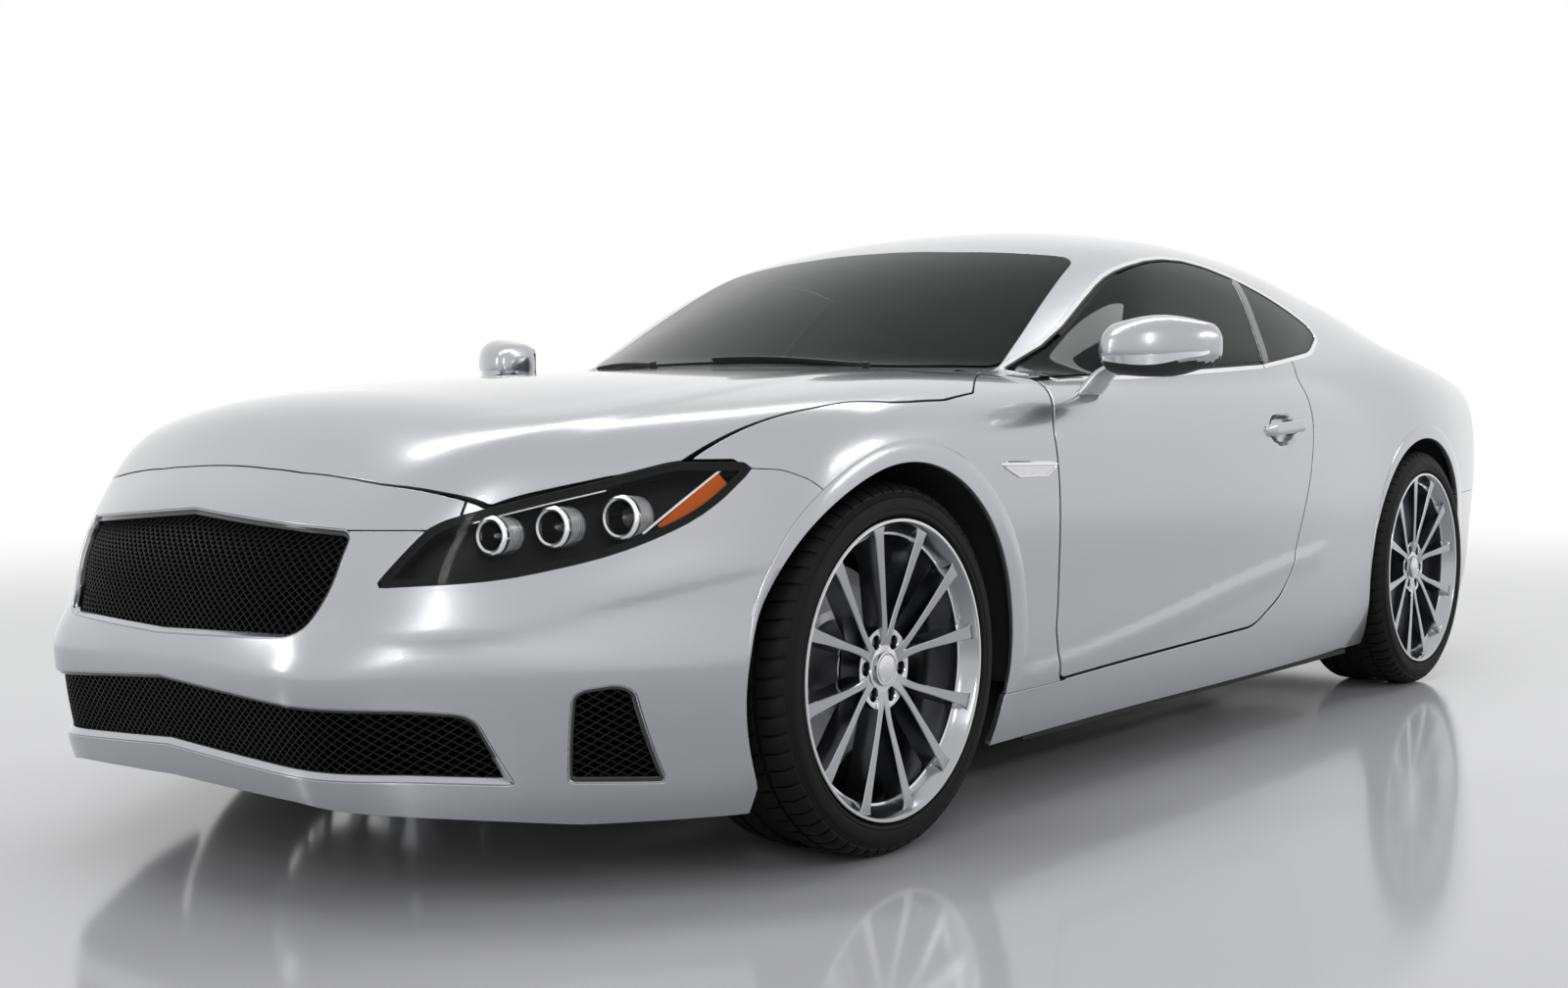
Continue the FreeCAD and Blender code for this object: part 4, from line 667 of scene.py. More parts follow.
HOOD = two_sided([(2258, 0, 2500), (2260, 212, 1500), (2232, 407, 900), (2192, 496, 500), (2139, 560, 0),
                  (2056, 614, 0), (1970, 669, 0), (1870, 739, 80), (1760, 790, 200), (1620, 856, 300),
                  (1440, 889, 500), (1260, 883, 200), (1126, 864, 30), (792, 664, 40), (905, 430, 500),
                  (1014, 0, 1200)], 1)
SCREEN_OPENING = two_sided([(262, 0, 0), (250, 220, 300), (178, 558, 50), (692, 652, 200), (1100, 690, 0),
                            (1100, 0, 0)], 1)
FRONT_ZONE = two_sided([(1300, 0, 0), (1300, 1100, 0), (802, 1100, 0), (802, 838, 0), (960, 762, 0),
                        (792, 664, 40), (905, 430, 500), (1014, 0, 1200)], 1)
BACKLIGHT = two_sided([(-1120, 0, 1500), (-1150, 400, 300), (-1200, 520, 60), (-1700, 560, 80),
                       (-1800, 380, 300), (-1830, 0, 1500)], 1)
BOOT = two_sided([(-1872, 0, 1500), (-1880, 400, 300), (-1950, 575, 70), (-2250, 600, 600), (-2700, 560, 0)], 1)
BOOT_AHEAD = [(x + 6, y, radius) for x, y, radius in BOOT]
GRILLE = two_sided([(0, 669, 0), (392, 640, 22), (389, 545, 150), (345, 463, 55), (0, 452, 0)], 0)
INTAKE = two_sided([(0, 380, 0), (371, 354, 300), (500, 346, 200), (570, 334, 34), (603, 208, 6),
                    (489, 222, 300), (0, 252, 0)], 0)
VENT = [(676, 368, 24), (740, 380, 24), (762, 200, 8), (658, 208, 8)]
HEADLAMP = [(446, 546, 6), (590, 554, 300), (700, 592, 300), (790, 655, 200), (832, 746, 14),
            (735, 748, 60), (500, 650, 60)]
NOSE_ZONE = [(-530, 640, 0), (530, 640, 0), (530, 950, 0), (-530, 950, 0)]
BUMPER_FOOT = two_sided([(0, -50, 0), (1100, -50, 0), (1100, 130, 0), (660, 132, 200), (330, 186, 200),
                         (0, 196, 0)], 0)
TAIL_LAMP = [(590, 746, 14), (1000, 738, 0), (1000, 900, 0), (620, 846, 14)]
SILL_TOP = 258
SHUT_GAP = 6
FINE_GAP = 2.4           # seen from above, so about 4 mm across the sloping edge of the hood
HEM = 1.6
SEAM = 0.3               # half the groove between panels that are bolted together
FRONT_AXLE, REAR_AXLE = 1435, -1315
TYRE_RADIUS, TRACK_HALF = 351, 772


def above(z):
    return lambda p: z - p[:, 2]


def wheel_arch(axle, radius=ARCH_RADIUS):
    """Distance outside the round of a wheel arch and its open foot."""
    def measure(p):
        round_part = np.hypot(p[:, 0] - axle, p[:, 2] - TYRE_RADIUS) - radius
        foot = np.maximum(np.abs(p[:, 0] - axle) - radius * 0.9, p[:, 2] - (TYRE_RADIUS - radius * 0.43))
        return np.maximum(np.minimum(round_part, foot), 300 - np.abs(p[:, 1]))
    return measure


def both_views(first, second):
    return lambda p: np.maximum(first(p), second(p))


def less(first, second):
    return lambda p: np.maximum(first(p), -second(p))


def beyond(x):
    """Only what lies ahead of x, or behind it where x is below zero."""
    return (lambda p: x - p[:, 0]) if x > 0 else (lambda p: p[:, 0] - x)


hood_lines = shape_in("plan", HOOD, above(500))
boot_lines = shape_in("plan", BOOT, above(600))
boot_ahead_lines = shape_in("plan", BOOT_AHEAD, above(600))
door_lines = shape_in("side", DOOR)
screen_lines = shape_in("plan", WINDSCREEN, above(700))
screen_opening = shape_in("plan", SCREEN_OPENING, above(700))
back_lines = shape_in("plan", BACKLIGHT, above(700))
front_zone = shape_in("plan", FRONT_ZONE, above(SILL_TOP))
window_lines = shape_in("side", SIDE_WINDOWS)
post_lines = shape_in("side", POST)
bumper_zone = shape_in("side", BUMPER_ZONE)
rear_bumper_zone = shape_in("side", REAR_BUMPER_ZONE)
grille_lines = shape_in("front", GRILLE, beyond(NOSE_CENTRE))
intake_lines = shape_in("front", INTAKE, beyond(NOSE_CENTRE))
vent_lines = shape_in("front", VENT, beyond(NOSE_CENTRE))
lamp_lines = shape_in("front", HEADLAMP, beyond(NOSE_CENTRE))
nose_zone = shape_in("front", NOSE_ZONE, beyond(NOSE_CENTRE))
bumper_foot = shape_in("front", BUMPER_FOOT, beyond(1000))
tail_lamp_front = shape_in("front", TAIL_LAMP, beyond(-1700))
tail_lamp_lines = both_views(tail_lamp_front, shape_in("side", TAIL_LAMP_SIDE))
front_arch, rear_arch = wheel_arch(FRONT_AXLE), wheel_arch(REAR_AXLE)

# %% [markdown]
# ## Painted panels
# Roof, pillars, haunches and sills are one welded shell. Doors, fenders, hood, boot lid and bumpers are cut from
# the same form, so highlights run over the shut lines without a break. Left and right panels are the same mesh
# mirrored, with its faces turned round again.

# %% Body shell
seam_cut = HEM + SEAM
shut_cut = HEM + SHUT_GAP
fine_cut = HEM + FINE_GAP


def cuts(sheet, *rows):
    """Cuts a sheet again and again; each row is a measure and how far the border stays away from it."""
    for measure, margin in rows:
        sheet = cut(sheet, measure, margin)
    return sheet


def painted(name, sheet, thick, body, node):
    """A painted panel that stands for one node."""
    piece = finish(name, sheet, thick, silver_paint, body)
    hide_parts(node)


shell = cuts(section_grid(-2058, 1062, -26, 206), (front_zone, seam_cut), (screen_opening, seam_cut),
             (back_lines, seam_cut), (boot_lines, shut_cut), (boot_ahead_lines, shut_cut), (hood_lines, shut_cut),
             (less(window_lines, post_lines), seam_cut), (door_lines, shut_cut), (tail_lamp_lines, seam_cut),
             (rear_arch, HEM), (front_arch, HEM), (rear_bumper_zone, seam_cut))
shell = keep(shell, lambda p: 150 + HEM - p[:, 2])
painted("shell_skin", shell, 12, "body", "body_shell")
print("shell", len(shell[1]), "faces")


# %% Left and right panels from one sheet
def pair(name, sheet, thick, material, node, body="body", slot="silver_paint", **sizes):
    """The panel and its mirror image, which together stand for one node or for a left and a right one."""
    for side, turn_over in HANDS:
        piece = finish(f"{name}_{side}", turn_over(sheet), thick, material, body.format(side=side), **sizes)
        if node:
            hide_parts(node.format(side=side))


def fender_zone(p):
    """Ahead of the door and above the sill."""
    return np.maximum(np.minimum(front_zone(p), 1290 - p[:, 0]), SILL_TOP - p[:, 2])


fender = keep(section_grid(780, 1900, -22, 62), fender_zone, seam_cut)
fender = cuts(fender, (hood_lines, fine_cut), (door_lines, shut_cut), (bumper_zone, seam_cut),
              (lamp_lines, seam_cut), (front_arch, HEM))
pair("fender_skin", fender, 8, silver_paint, "front_fenders")
print("fender", len(fender[1]), "faces")

# %% Front bumper and nose panel
nose_wall = round_grid(NOSE_CENTRE, (-84, 84), (118, 748), 900)
wall = cuts(nose_wall, (hood_lines, HEM + FINE_GAP / 2), (grille_lines, HEM), (lamp_lines, seam_cut))
bumper = cuts(wall, (nose_zone, HEM + FINE_GAP / 2), (intake_lines, HEM), (vent_lines, HEM), (bumper_foot, HEM),
              (front_arch, HEM))
painted("front_bumper_skin", keep(bumper, bumper_zone, seam_cut), 8, "body", "front_bumper")
painted("nose_skin", keep(wall, nose_zone, seam_cut), 8, "body", "nose_panel")

# %% Hood
hood = cut(keep(section_grid(770, 2290, 12, 168), hood_lines, HEM), lamp_lines, fine_cut)
painted("hood_skin", hood, 12, "hood_lid", "hood")

# %% Boot lid, tail corners and rear bumper
y, a = np.meshgrid(steps(-640, 640, PITCH), turns(96, -2, 480), indexing="ij")
lid = grid_sheet(cast(np.stack([0 * y - 1760, y, 0 * y + 560], -1), np.stack([-np.cos(a), 0 * a, np.sin(a)], -1)))
lid = cut(keep(lid, shape_in("plan", BOOT, above(640)), HEM), tail_lamp_front, shut_cut)
painted("boot_skin", lid, 12, "boot", "boot_lid")
corner = keep(section_grid(-2404, -2040, 1, 52), lambda p: p[:, 0] + 2060, seam_cut)
corner = cuts(corner, (rear_bumper_zone, seam_cut), (boot_lines, shut_cut), (tail_lamp_lines, seam_cut))
pair("tail_corner_skin", corner, 8, silver_paint, "tail_corners")
TAILPIPE_OUT, TAILPIPE_Z, TAILPIPE_HOLE = 520, 235, 48


def tailpipe_hole(p):
    return np.hypot(np.abs(p[:, 1]) - TAILPIPE_OUT, p[:, 2] - TAILPIPE_Z) - TAILPIPE_HOLE


under_lid = shape_in("plan", BOOT, lambda p: np.maximum(628 - p[:, 2], p[:, 2] - 800))
rear = keep(round_grid(TAIL_CENTRE, (-76, 76), (150, 655), 950, -1), rear_bumper_zone, seam_cut)
rear = cuts(rear, (rear_arch, HEM), (under_lid, shut_cut), (tailpipe_hole, HEM))
painted("rear_bumper_skin", rear, 8, "body", "rear_bumper")


# %% Doors
def door_inner(points, normals):
    """The door's inner face: a deep box, but thin ahead of the hinges."""
    side = np.sign(points[:, 1])
    out = np.abs(points[:, 1])
    deep = np.minimum(800, out - 20)
    thin = out - 8
    return np.stack([points[:, 0], side * np.where(points[:, 0] < 786, deep, thin), points[:, 2]], 1)


door_sheet = keep(side_grid(-560, 892, 250, 990), door_lines, HEM)
pair("door_skin", door_sheet, 20, silver_paint, "door_{side}", "door_{side}", inner=door_inner)
print("door", len(door_sheet[1]), "faces")

# %% [markdown]
# ## Glass
# The panes follow the same form, so they sit flush. Windscreen and backlight carry a fired black border that
# hides the glue, and this is a thin black band just under the glass.

# %% Windscreen, backlight and side glass
GLASS_HEM = 0.8


def window(name, sheet, node, body="body", border_width=0, lines=None):
    glass = finish(name, sheet, 5, tinted_glass, body, hem=GLASS_HEM)
    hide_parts(node)
    if border_width:
        edge = cut(sheet, lines, -border_width)
        fired = finish(name + "_border", edge, 0.6, gloss_black, body, hem=0.2, sunk=5.3)


screen = keep(section_grid(140, 980, 28, 152), screen_lines, GLASS_HEM)
window("windscreen_pane", screen, "windscreen", "body", 30, screen_lines)
backlight = keep(section_grid(-1850, -1100, 32, 148), back_lines, GLASS_HEM)
window("backlight_pane", backlight, "rear_window", "body", 34, back_lines)
panes = keep(section_grid(-900, 800, 22, 64), window_lines, GLASS_HEM)


def behind_post(p, x=-325):
    """Behind a line that leans like the black post between the side windows; x is its place at 900 mm."""
    return (p[:, 0] - x) + (p[:, 2] - 900) * 205 / 360


def ahead_of_post(p):
    return -behind_post(p, -285)


def belt_line(p):
    """Height of the door's upper edge."""
    return 897 + (772 - p[:, 0]) * 50 / 1072


rear_pane = keep(panes, behind_post, GLASS_HEM)
front_pane = keep(panes, ahead_of_post, GLASS_HEM + SHUT_GAP)
front_pane = keep(front_pane, window_lines, GLASS_HEM + SHUT_GAP - 0.4)
front_pane = keep(front_pane, lambda p: belt_line(p) + 1.2 - p[:, 2])
for side, turn_over in HANDS:
    window(f"quarter_pane_{side}", turn_over(rear_pane), "quarter_windows")
    window(f"door_pane_{side}", turn_over(front_pane), f"door_glass_{side}", f"door_{side}")
print("panes", len(rear_pane[1]), len(front_pane[1]))

# %% [markdown]
# ## Helpers for solid pieces
# Turned parts are a profile swung round an axle; arms, spokes and housings are lofts through closed rings.
# Whatever repeats round a wheel is made by one Geometry Nodes tree that copies a unit round the axle. The tree
# realises its copies and gives them their material, and its result is then kept as a plain mesh.

# %% Lathe, loft and ring of copies
def outward_faces(points, faces):
    """The faces of a closed shape, all turned to face outwards."""
    points = np.asarray(points, float)
    volume = 0.0
    for face in faces:
        a = points[face[0]]
        for k in range(1, len(face) - 1):
            volume += a @ np.cross(points[face[k]], points[face[k + 1]])
    return faces if volume > 0 else [tuple(reversed(face)) for face in faces]


def lathe(profile, segments=96):
    """A closed profile of rows (out along the axle, radius) swung round the Y axis."""
    count = len(profile)
    points, faces = [], []
    for k in range(segments):
        a = 2 * math.pi * k / segments
        points += [(r * math.cos(a), w, r * math.sin(a)) for w, r in profile]
        here, there = k * count, (k + 1) % segments * count
        for i in range(count):
            j = (i + 1) % count
            faces.append((here + i, here + j, there + j, there + i))
    return np.array(points), outward_faces(points, faces)


def loft(rings):
    """A closed shape through rings that all have the same number of points, with flat ends."""
    count = len(rings[0])
    points = np.array([point for ring in rings for point in ring], float)
    faces = []
    for k in range(len(rings) - 1):
        for i in range(count):
            j = (i + 1) % count
            faces.append((k * count + i, k * count + j, (k + 1) * count + j, (k + 1) * count + i))
    for first in (0, len(points) - count):
        faces.append(tuple(range(first, first + count))[::-1])
    return points, outward_faces(points, faces)


def joined(*shapes):
    points, faces, start = [], [], 0
    for shape_points, shape_faces in shapes:
        points.append(np.asarray(shape_points, float))
        faces += [tuple(start + i for i in face) for face in shape_faces]
        start += len(shape_points)
    return np.vstack(points), faces


def moved(shape, x=0, y=0, z=0):
    return np.asarray(shape[0], float) + [x, y, z], shape[1]


def solid(name, shape, material, body, sharp=32, replaces=None):
    """A piece with smooth faces and sharp edges where it bends by more than so many degrees."""
    piece = make_piece(name, shape[0], shape[1], material, body)
    piece.data.set_sharp_from_angle(angle=math.radians(sharp))
    if replaces:
        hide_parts(replaces)
    return piece


def both_hands(name, shape, material, body, sharp=32):
    """A left piece and its mirror image on the right; the body's name may hold {side}."""
    for side, turn_over in HANDS:
        solid(f"{name}_{side}", turn_over(shape), material, body.format(side=side), sharp)


def new_tree(name, inputs):
    """A Geometry Nodes tree with its way in and its way out."""
    tree = bpy.data.node_groups.new(name, "GeometryNodeTree")
    tree.interface.new_socket("Geometry", in_out="OUTPUT", socket_type="NodeSocketGeometry")
    for title, kind in inputs.items():
        tree.interface.new_socket(title, in_out="INPUT", socket_type="NodeSocket" + kind)
    return tree, add(tree, "NodeGroupInput"), add(tree, "NodeGroupOutput")


def ring_tree():
    """Copies of a unit turned round the Y axis."""
    tree, given, result = new_tree("ring_of_copies", {"Unit": "Object", "Count": "Int", "Start": "Float",
                                                      "Finish": "Material"})
    points, unit, copies, index, share, angle, turn, real, paint = (add(tree, kind) for kind in (
        "GeometryNodePoints", "GeometryNodeObjectInfo", "GeometryNodeInstanceOnPoints", "GeometryNodeInputIndex",
        "ShaderNodeMath", "ShaderNodeMath", "ShaderNodeCombineXYZ", "GeometryNodeRealizeInstances",
        "GeometryNodeSetMaterial"))
    share.operation = "DIVIDE"
    angle.operation = "MULTIPLY_ADD"
    angle.inputs[1].default_value = 2 * math.pi
    wire(tree, (given, "Count", points, "Count"), (given, "Unit", unit, "Object"), (points, 0, copies, "Points"),
         (unit, "Geometry", copies, "Instance"), (index, 0, share, 0), (given, "Count", share, 1),
         (share, 0, angle, 0), (given, "Start", angle, 2), (angle, 0, turn, "Y"), (turn, 0, copies, "Rotation"),
         (copies, 0, real, 0), (real, 0, paint, "Geometry"), (given, "Finish", paint, "Material"),
         (paint, 0, result, 0))
    return tree


RING = ring_tree()


def grown_by_nodes(tree, title, points, edges, faces, **inputs):
    """Feeds a mesh to a Geometry Nodes tree and returns what grows from it as points in mm and faces."""
    source, holder = (new_object(name, bpy.data.meshes.new(name)) for name in ("source", "holder"))
    source.data.from_pydata((np.asarray(points) * MM).tolist(), edges, faces)
    inputs[title] = source
    modifier = holder.modifiers.new("nodes", "NODES")
    modifier.node_group = tree
    for item in tree.interface.items_tree:
        if item.item_type == "SOCKET" and item.in_out == "INPUT":
            modifier[item.identifier] = inputs[item.name]
    result = bpy.data.meshes.new_from_object(holder.evaluated_get(bpy.context.evaluated_depsgraph_get()))
    grown = np.empty(len(result.vertices) * 3)
    result.vertices.foreach_get("co", grown)
    faces = [tuple(polygon.vertices) for polygon in result.polygons]
    bpy.data.meshes.remove(result)
    bpy.data.objects.remove(holder)
    bpy.data.objects.remove(source)
    return grown.reshape(-1, 3) / MM, faces


def ring_of(shape, count, start_degrees, material):
    """A shape copied round the Y axis."""
    return grown_by_nodes(RING, "Unit", shape[0], [], shape[1], Count=count, Start=-math.radians(start_degrees),
                          Finish=material)


# %% [markdown]
# ## Wheels
# Six pairs of spokes run from the hub to the lip, flat with deep side walls; their faces carry a painted highlight,
# a brighter colour than the rest of the alloy.
# A spoke is a loft through fourteen sections; the pair's angle opens smoothly with the radius. The tyre is turned
# from its section, and its tread blocks are copied round it, so that it reads as rubber from behind too.

# %% Spokes, rim and hub
# columns: radius, share of the pair's spread, half-width at the front, half-width at the back, front, back
SPOKE_ROWS = [(40, 0.42, 11, 13, 93, 60), (62, 0.47, 8.5, 12, 98, 56), (90, 0.58, 7.5, 11.5, 101, 56),
              (130, 0.76, 7.5, 11.5, 105, 58), (175, 0.89, 9, 12, 110, 62), (220, 0.96, 11, 13, 114, 67),
              (255, 1.0, 13, 14.5, 117.5, 73), (266, 1.0, 15, 17, 118, 76), (274, 1.0, 20, 23, 118, 80)]
PAIR_SPREAD = 15
spoke_curves = curves_through(SPOKE_ROWS)


def spoke_shape(hand):
    rings = []
    for radius in (40, 50, 62, 76, 92, 112, 136, 162, 190, 218, 240, 255, 266, 274):
        share, front_half, back_half, front, back = (float(curve(radius)) for curve in spoke_curves)
        a = math.radians(hand * PAIR_SPREAD * share)
        along = np.array([math.cos(a), 0, math.sin(a)])
        aside = np.array([-math.sin(a), 0, math.cos(a)])
        waist_half = 0.9 * min(front_half, back_half)
        middle = (front + back) / 2
        section = [(-front_half + 1.4, front), (front_half - 1.4, front), (front_half, front - 1.6),
                   (front_half - 0.6, front - 7), (waist_half, middle), (back_half, back + 2),
                   (back_half - 3, back), (3 - back_half, back), (-back_half, back + 2), (-waist_half, middle),
                   (0.6 - front_half, front - 7), (-front_half, front - 1.6)]
        rings.append([along * radius + aside * c + np.array([0, w, 0]) for c, w in section])
    return loft(rings)


RIM_PROFILE = [(126.5, 284), (128, 282.5), (128, 277.5), (126.5, 276), (122, 273.5), (103, 262), (96, 258.5),
               (94, 256.5), (93, 252), (89, 251), (60, 252.5), (0, 254), (-60, 262), (-110, 267), (-122, 272),
               (-127, 276), (-128, 282), (-126, 284.5), (-118, 284.5), (-115, 276.5), (-60, 270), (0, 262),
               (60, 270), (115, 276.5), (118, 284.5)]
HUB_RADIUS, LUG_CIRCLE, LUG_RADIUS = 78, 56, 13.5
HUB_FACE = 94


def circle(count, turn=0.0):
    angles = [turn + 2 * math.pi * k / count for k in range(count)]
    return [(math.cos(a), math.sin(a)) for a in angles]


def hub_sector():
    """A sixth of the hub with its lug recess: rings of points round the lug, run out to the sector's edge."""
    around = circle(36)
    reach = []
    for c, s in around:
        t = 0.0
        for _ in range(400):
            t += 0.25
            x, z = LUG_CIRCLE + c * t, s * t
            if math.hypot(x, z) > HUB_RADIUS or math.hypot(x, z) < 22 or abs(math.atan2(z, x)) > math.pi / 6:
                break
        reach.append(max(t, LUG_RADIUS + 2.2))
    rings = []
    for radius, height in ((3, HUB_FACE - 26), (LUG_RADIUS - 1, HUB_FACE - 26), (LUG_RADIUS - 0.5, HUB_FACE - 2),
                           (LUG_RADIUS + 0.6, HUB_FACE - 0.4), (LUG_RADIUS + 2, HUB_FACE)):
        rings.append([(LUG_CIRCLE + radius * c, height, radius * s) for c, s in around])
    for drop in (0, 44):
        rings.append([(LUG_CIRCLE + t * c, HUB_FACE - drop, t * s) for (c, s), t in zip(around, reach)])
    return loft(rings)


CAP_PROFILE = [(HUB_FACE - 6, 0.01), (HUB_FACE - 6, 33.5), (HUB_FACE + 4, 33.5), (HUB_FACE + 6.5, 32.5),
               (HUB_FACE + 7, 30), (HUB_FACE + 5.6, 28.5), (HUB_FACE + 5.4, 26.5), (HUB_FACE + 6.6, 25.5),
               (HUB_FACE + 8.2, 20), (HUB_FACE + 9.2, 12), (HUB_FACE + 9.6, 0.01)]


def lug_nut():
    rings = []
    for radius, height in ((9, HUB_FACE - 27), (9, HUB_FACE - 12), (7.4, HUB_FACE - 9.5), (5, HUB_FACE - 8.6)):
        rings.append([(LUG_CIRCLE + radius * c, height, radius * s) for c, s in circle(6, 0.2)])
    return loft(rings)


PAIR_START = 5           # degrees from straight ahead to the first lug; spokes start half way between lugs
spokes = [ring_of(spoke_shape(hand), 6, PAIR_START + 30, alloy) for hand in (-1, 1)]
rim_shape = joined(lathe(RIM_PROFILE, 120), *spokes, ring_of(hub_sector(), 6, PAIR_START, alloy),
                   lathe(CAP_PROFILE, 48))
nuts_shape = ring_of(lug_nut(), 6, PAIR_START, forged_metal)
print("rim", len(rim_shape[1]), "faces")

# %% Tyre with its tread blocks
# columns: out from the tyre's middle, below the tread
TYRE_HALF = [(0, 7.5), (100, 7.5), (106, 8.8), (113, 12.4), (119.5, 18), (124.6, 24.5), (127.6, 29),
             (128.6, 29.4), (129.8, 32), (130.9, 37), (131.4, 43), (131.2, 48.6), (130.2, 49.2), (129.4, 52.5),
             (130.6, 55), (130.4, 58), (128.6, 60.4), (124, 62.2), (119.5, 64.8), (116.4, 68.4), (114.6, 72),
             (113.4, 74), (104, 74), (108, 51), (100, 18)]
tyre_profile = [(w, TYRE_RADIUS - d) for w, d in TYRE_HALF]
tyre_profile += [(-w, r) for w, r in reversed(tyre_profile) if w > 0]


def tread_block(rows, length, slant, count):
    """A raised block: rows are (out, below the tread) across it; slanted along the tyre by so many degrees."""
    rings = []
    half = math.pi / count * length
    for turn in (-half, -half * 0.9, 0, half * 0.9, half):
        edge = 1.0 if abs(turn) == half else 0.0
        ring = []
        for depth, order in ((edge, 1), (9, -1)):
            for k, (w, d) in list(enumerate(rows))[::order]:
                a = turn + math.radians(slant) * k / (len(rows) - 1)
                r = TYRE_RADIUS - d - depth
                ring.append((r * math.cos(a), w, r * math.sin(a)))
        rings.append(ring)
    return loft(rings)


shoulder = [(70, 1.4), (71, 0.5), (90, 1.1), (101, 2.6), (109, 5.6), (115.5, 9.8), (120.6, 15.2)]
inner_rib = [(26, 1.2), (27, 0.2), (58, 0.4), (59, 1.4)]
blocks = []
for rows, length, slant, count in ((shoulder, 0.86, 1.6, 64), (inner_rib, 0.88, 4.0, 56)):
    copies = ring_of(tread_block(rows, length, slant, count), count, 0, tyre_rubber)
    blocks += [copies, flipped(copies)]
centre_rib = lathe([(-15, 9), (-15, 1), (-14, 0), (14, 0), (15, 1), (15, 9)], 96)
tyre_shape = joined(lathe(tyre_profile, 96), centre_rib, *blocks)
print("tyre", len(tyre_shape[1]), "faces")

# %% Brake disc with its vanes
DISC_INNER, DISC_THICK, DISC_RADIUS = -60, 28, 190
DISC_OUTER = DISC_INNER + DISC_THICK
disc_faces = [lathe([(w, 92), (w, DISC_RADIUS - 1), (w + 1, DISC_RADIUS), (w + 7, DISC_RADIUS),
                     (w + 8, DISC_RADIUS - 1), (w + 8, 92)]) for w in (DISC_INNER, DISC_OUTER - 8)]
vane_rings = [[(r, DISC_INNER + w, c) for w, c in ((6, -2), (6, 2), (22, 2), (22, -2))] for r in (100, 150, 188)]
vanes = ring_of(loft(vane_rings), 40, 0, disc_steel)
hat = lathe([(DISC_INNER + 2, 100), (DISC_OUTER, 100), (DISC_OUTER + 4, 84), (44, 80), (45.4, 78), (45.4, 25),
             (40, 25), (40, 74), (DISC_OUTER, 78), (DISC_INNER + 2, 90)], 72)
disc_shape = joined(*disc_faces, vanes, hat)

# %% Four wheels
# A painted highlight: the outward faces of the rims get this brighter colour, though they are the same alloy as the
# rest.
painted_highlight = finish_material("painted_highlight_face", (0.66, 0.66, 0.665), 0.2, 1.0, vary=0.03, scale=300, Coat_Weight=0.7,
                           Coat_Roughness=0.04)
PAINTED_HIGHLIGHT_FROM = TRACK_HALF + 92              # faces further out than this that look outwards get a painted highlight: a brighter colour than the alloy
wheel_parts = (("rim", rim_shape, alloy, "rim_alloy", 28), ("tyre", tyre_shape, tyre_rubber, "tyre", 38),
               ("disc", disc_shape, disc_steel, "disc_steel", 30),
               ("nuts", nuts_shape, forged_metal, "forged_steel", 25))
for end, axle in (("front", FRONT_AXLE), ("rear", REAR_AXLE)):
    for side, hand in (("left", 1), ("right", -1)):
        for kind, shape, material, slot, sharp in wheel_parts:
            placed = moved(shape if hand > 0 else flipped(shape), axle, TRACK_HALF * hand, TYRE_RADIUS)
            piece = solid(f"{kind}_{end}_{side}_dressed", placed, material, f"wheel_{end}_{side}", sharp,
                          f"{kind}_{end}_{side}" if kind != "nuts" else None)
            if kind == "rim":
                # The rim's outward faces take the painted highlight colour.
                piece.data.materials.append(painted_highlight)
                for polygon in piece.data.polygons:
                    if polygon.normal.y * hand > 0.93 and abs(polygon.center.y) > PAINTED_HIGHLIGHT_FROM * MM:
                        polygon.material_index = 1


# %% [markdown]
# ## Strips that follow a line
# Trim, seals, lamp borders and the lips of openings all follow an outline on the body. One helper carries a small
# section along such a line. It takes its across direction from the form's own slope, so a strip stays square
# to the panel all the way round, as rolled trim does.

# %% Lines on the form and strips along them
def run_along(points):
    """Distance from the first point along the line, for each point."""
    return np.r_[0, np.cumsum(np.linalg.norm(np.diff(points, axis=0), axis=1))]


def on_form(view, rows, spacing):
    """Evenly spaced points of the form under an outline seen from the side or from the front."""
    loop = outline(rows)
    loop = np.vstack([loop, loop[:1]])
    lengths = run_along(loop)
    count = max(8, int(lengths[-1] / spacing))
    at = np.linspace(0, lengths[-1], count + 1)[:-1]
    a, b = (np.interp(at, lengths, loop[:, k]) for k in (0, 1))
    if view == "side":
        return cast(np.stack([a, 0 * a, b], 1), [0, 1.0, 0])
    return cast(np.stack([0 * a + NOSE_CENTRE, a, b], 1), [1.0, 0, 0])


def stretches(points, test):
    """The unbroken stretches of a closed line where the test holds."""
    held = test(points)
    if held.all():
        return [points]
    first = int(np.argmin(held))
    points, held = np.roll(points, -first, 0), np.roll(held, -first)
    found, now = [], []
    for point, inside in zip(points, held):
        if inside:
            now.append(point)
        elif now:
            found.append(np.array(now))
            now = []
    if now:
        found.append(np.array(now))
    return [part for part in found if len(part) > 2]


def strip(points, profile, middle=None, closed=True):
    """A bar along a line on the form; profile rows are (away from the middle, out of the form)."""
    middle = points.mean(0) if middle is None else np.asarray(middle, float)
    ahead = np.roll(points, -1, 0) - np.roll(points, 1, 0)
    if not closed:
        ahead[0], ahead[-1] = points[1] - points[0], points[-1] - points[-2]
    up = slopes(points)
    aside = np.cross(up, ahead)
    aside /= np.linalg.norm(aside, axis=1, keepdims=True)
    if (aside * (points - middle)).sum() < 0:
        aside = -aside
    rings = np.stack([points + aside * u + up * v for u, v in profile], 1)
    if not closed:
        return loft(rings)
    count, rows = len(profile), len(points)
    faces = [(k * count + i, k * count + (i + 1) % count, (k + 1) % rows * count + (i + 1) % count,
              (k + 1) % rows * count + i) for k in range(rows) for i in range(count)]
    return rings.reshape(-1, 3), outward_faces(rings.reshape(-1, 3), faces)


def band(u0, u1, v0, v1, soft=0.6):
    """A flat section with its two outer corners eased."""
    return [(u0, v0), (u1, v0), (u1, v1 - soft), (u1 - soft, v1), (u0 + soft, v1), (u0, v1 - soft)]


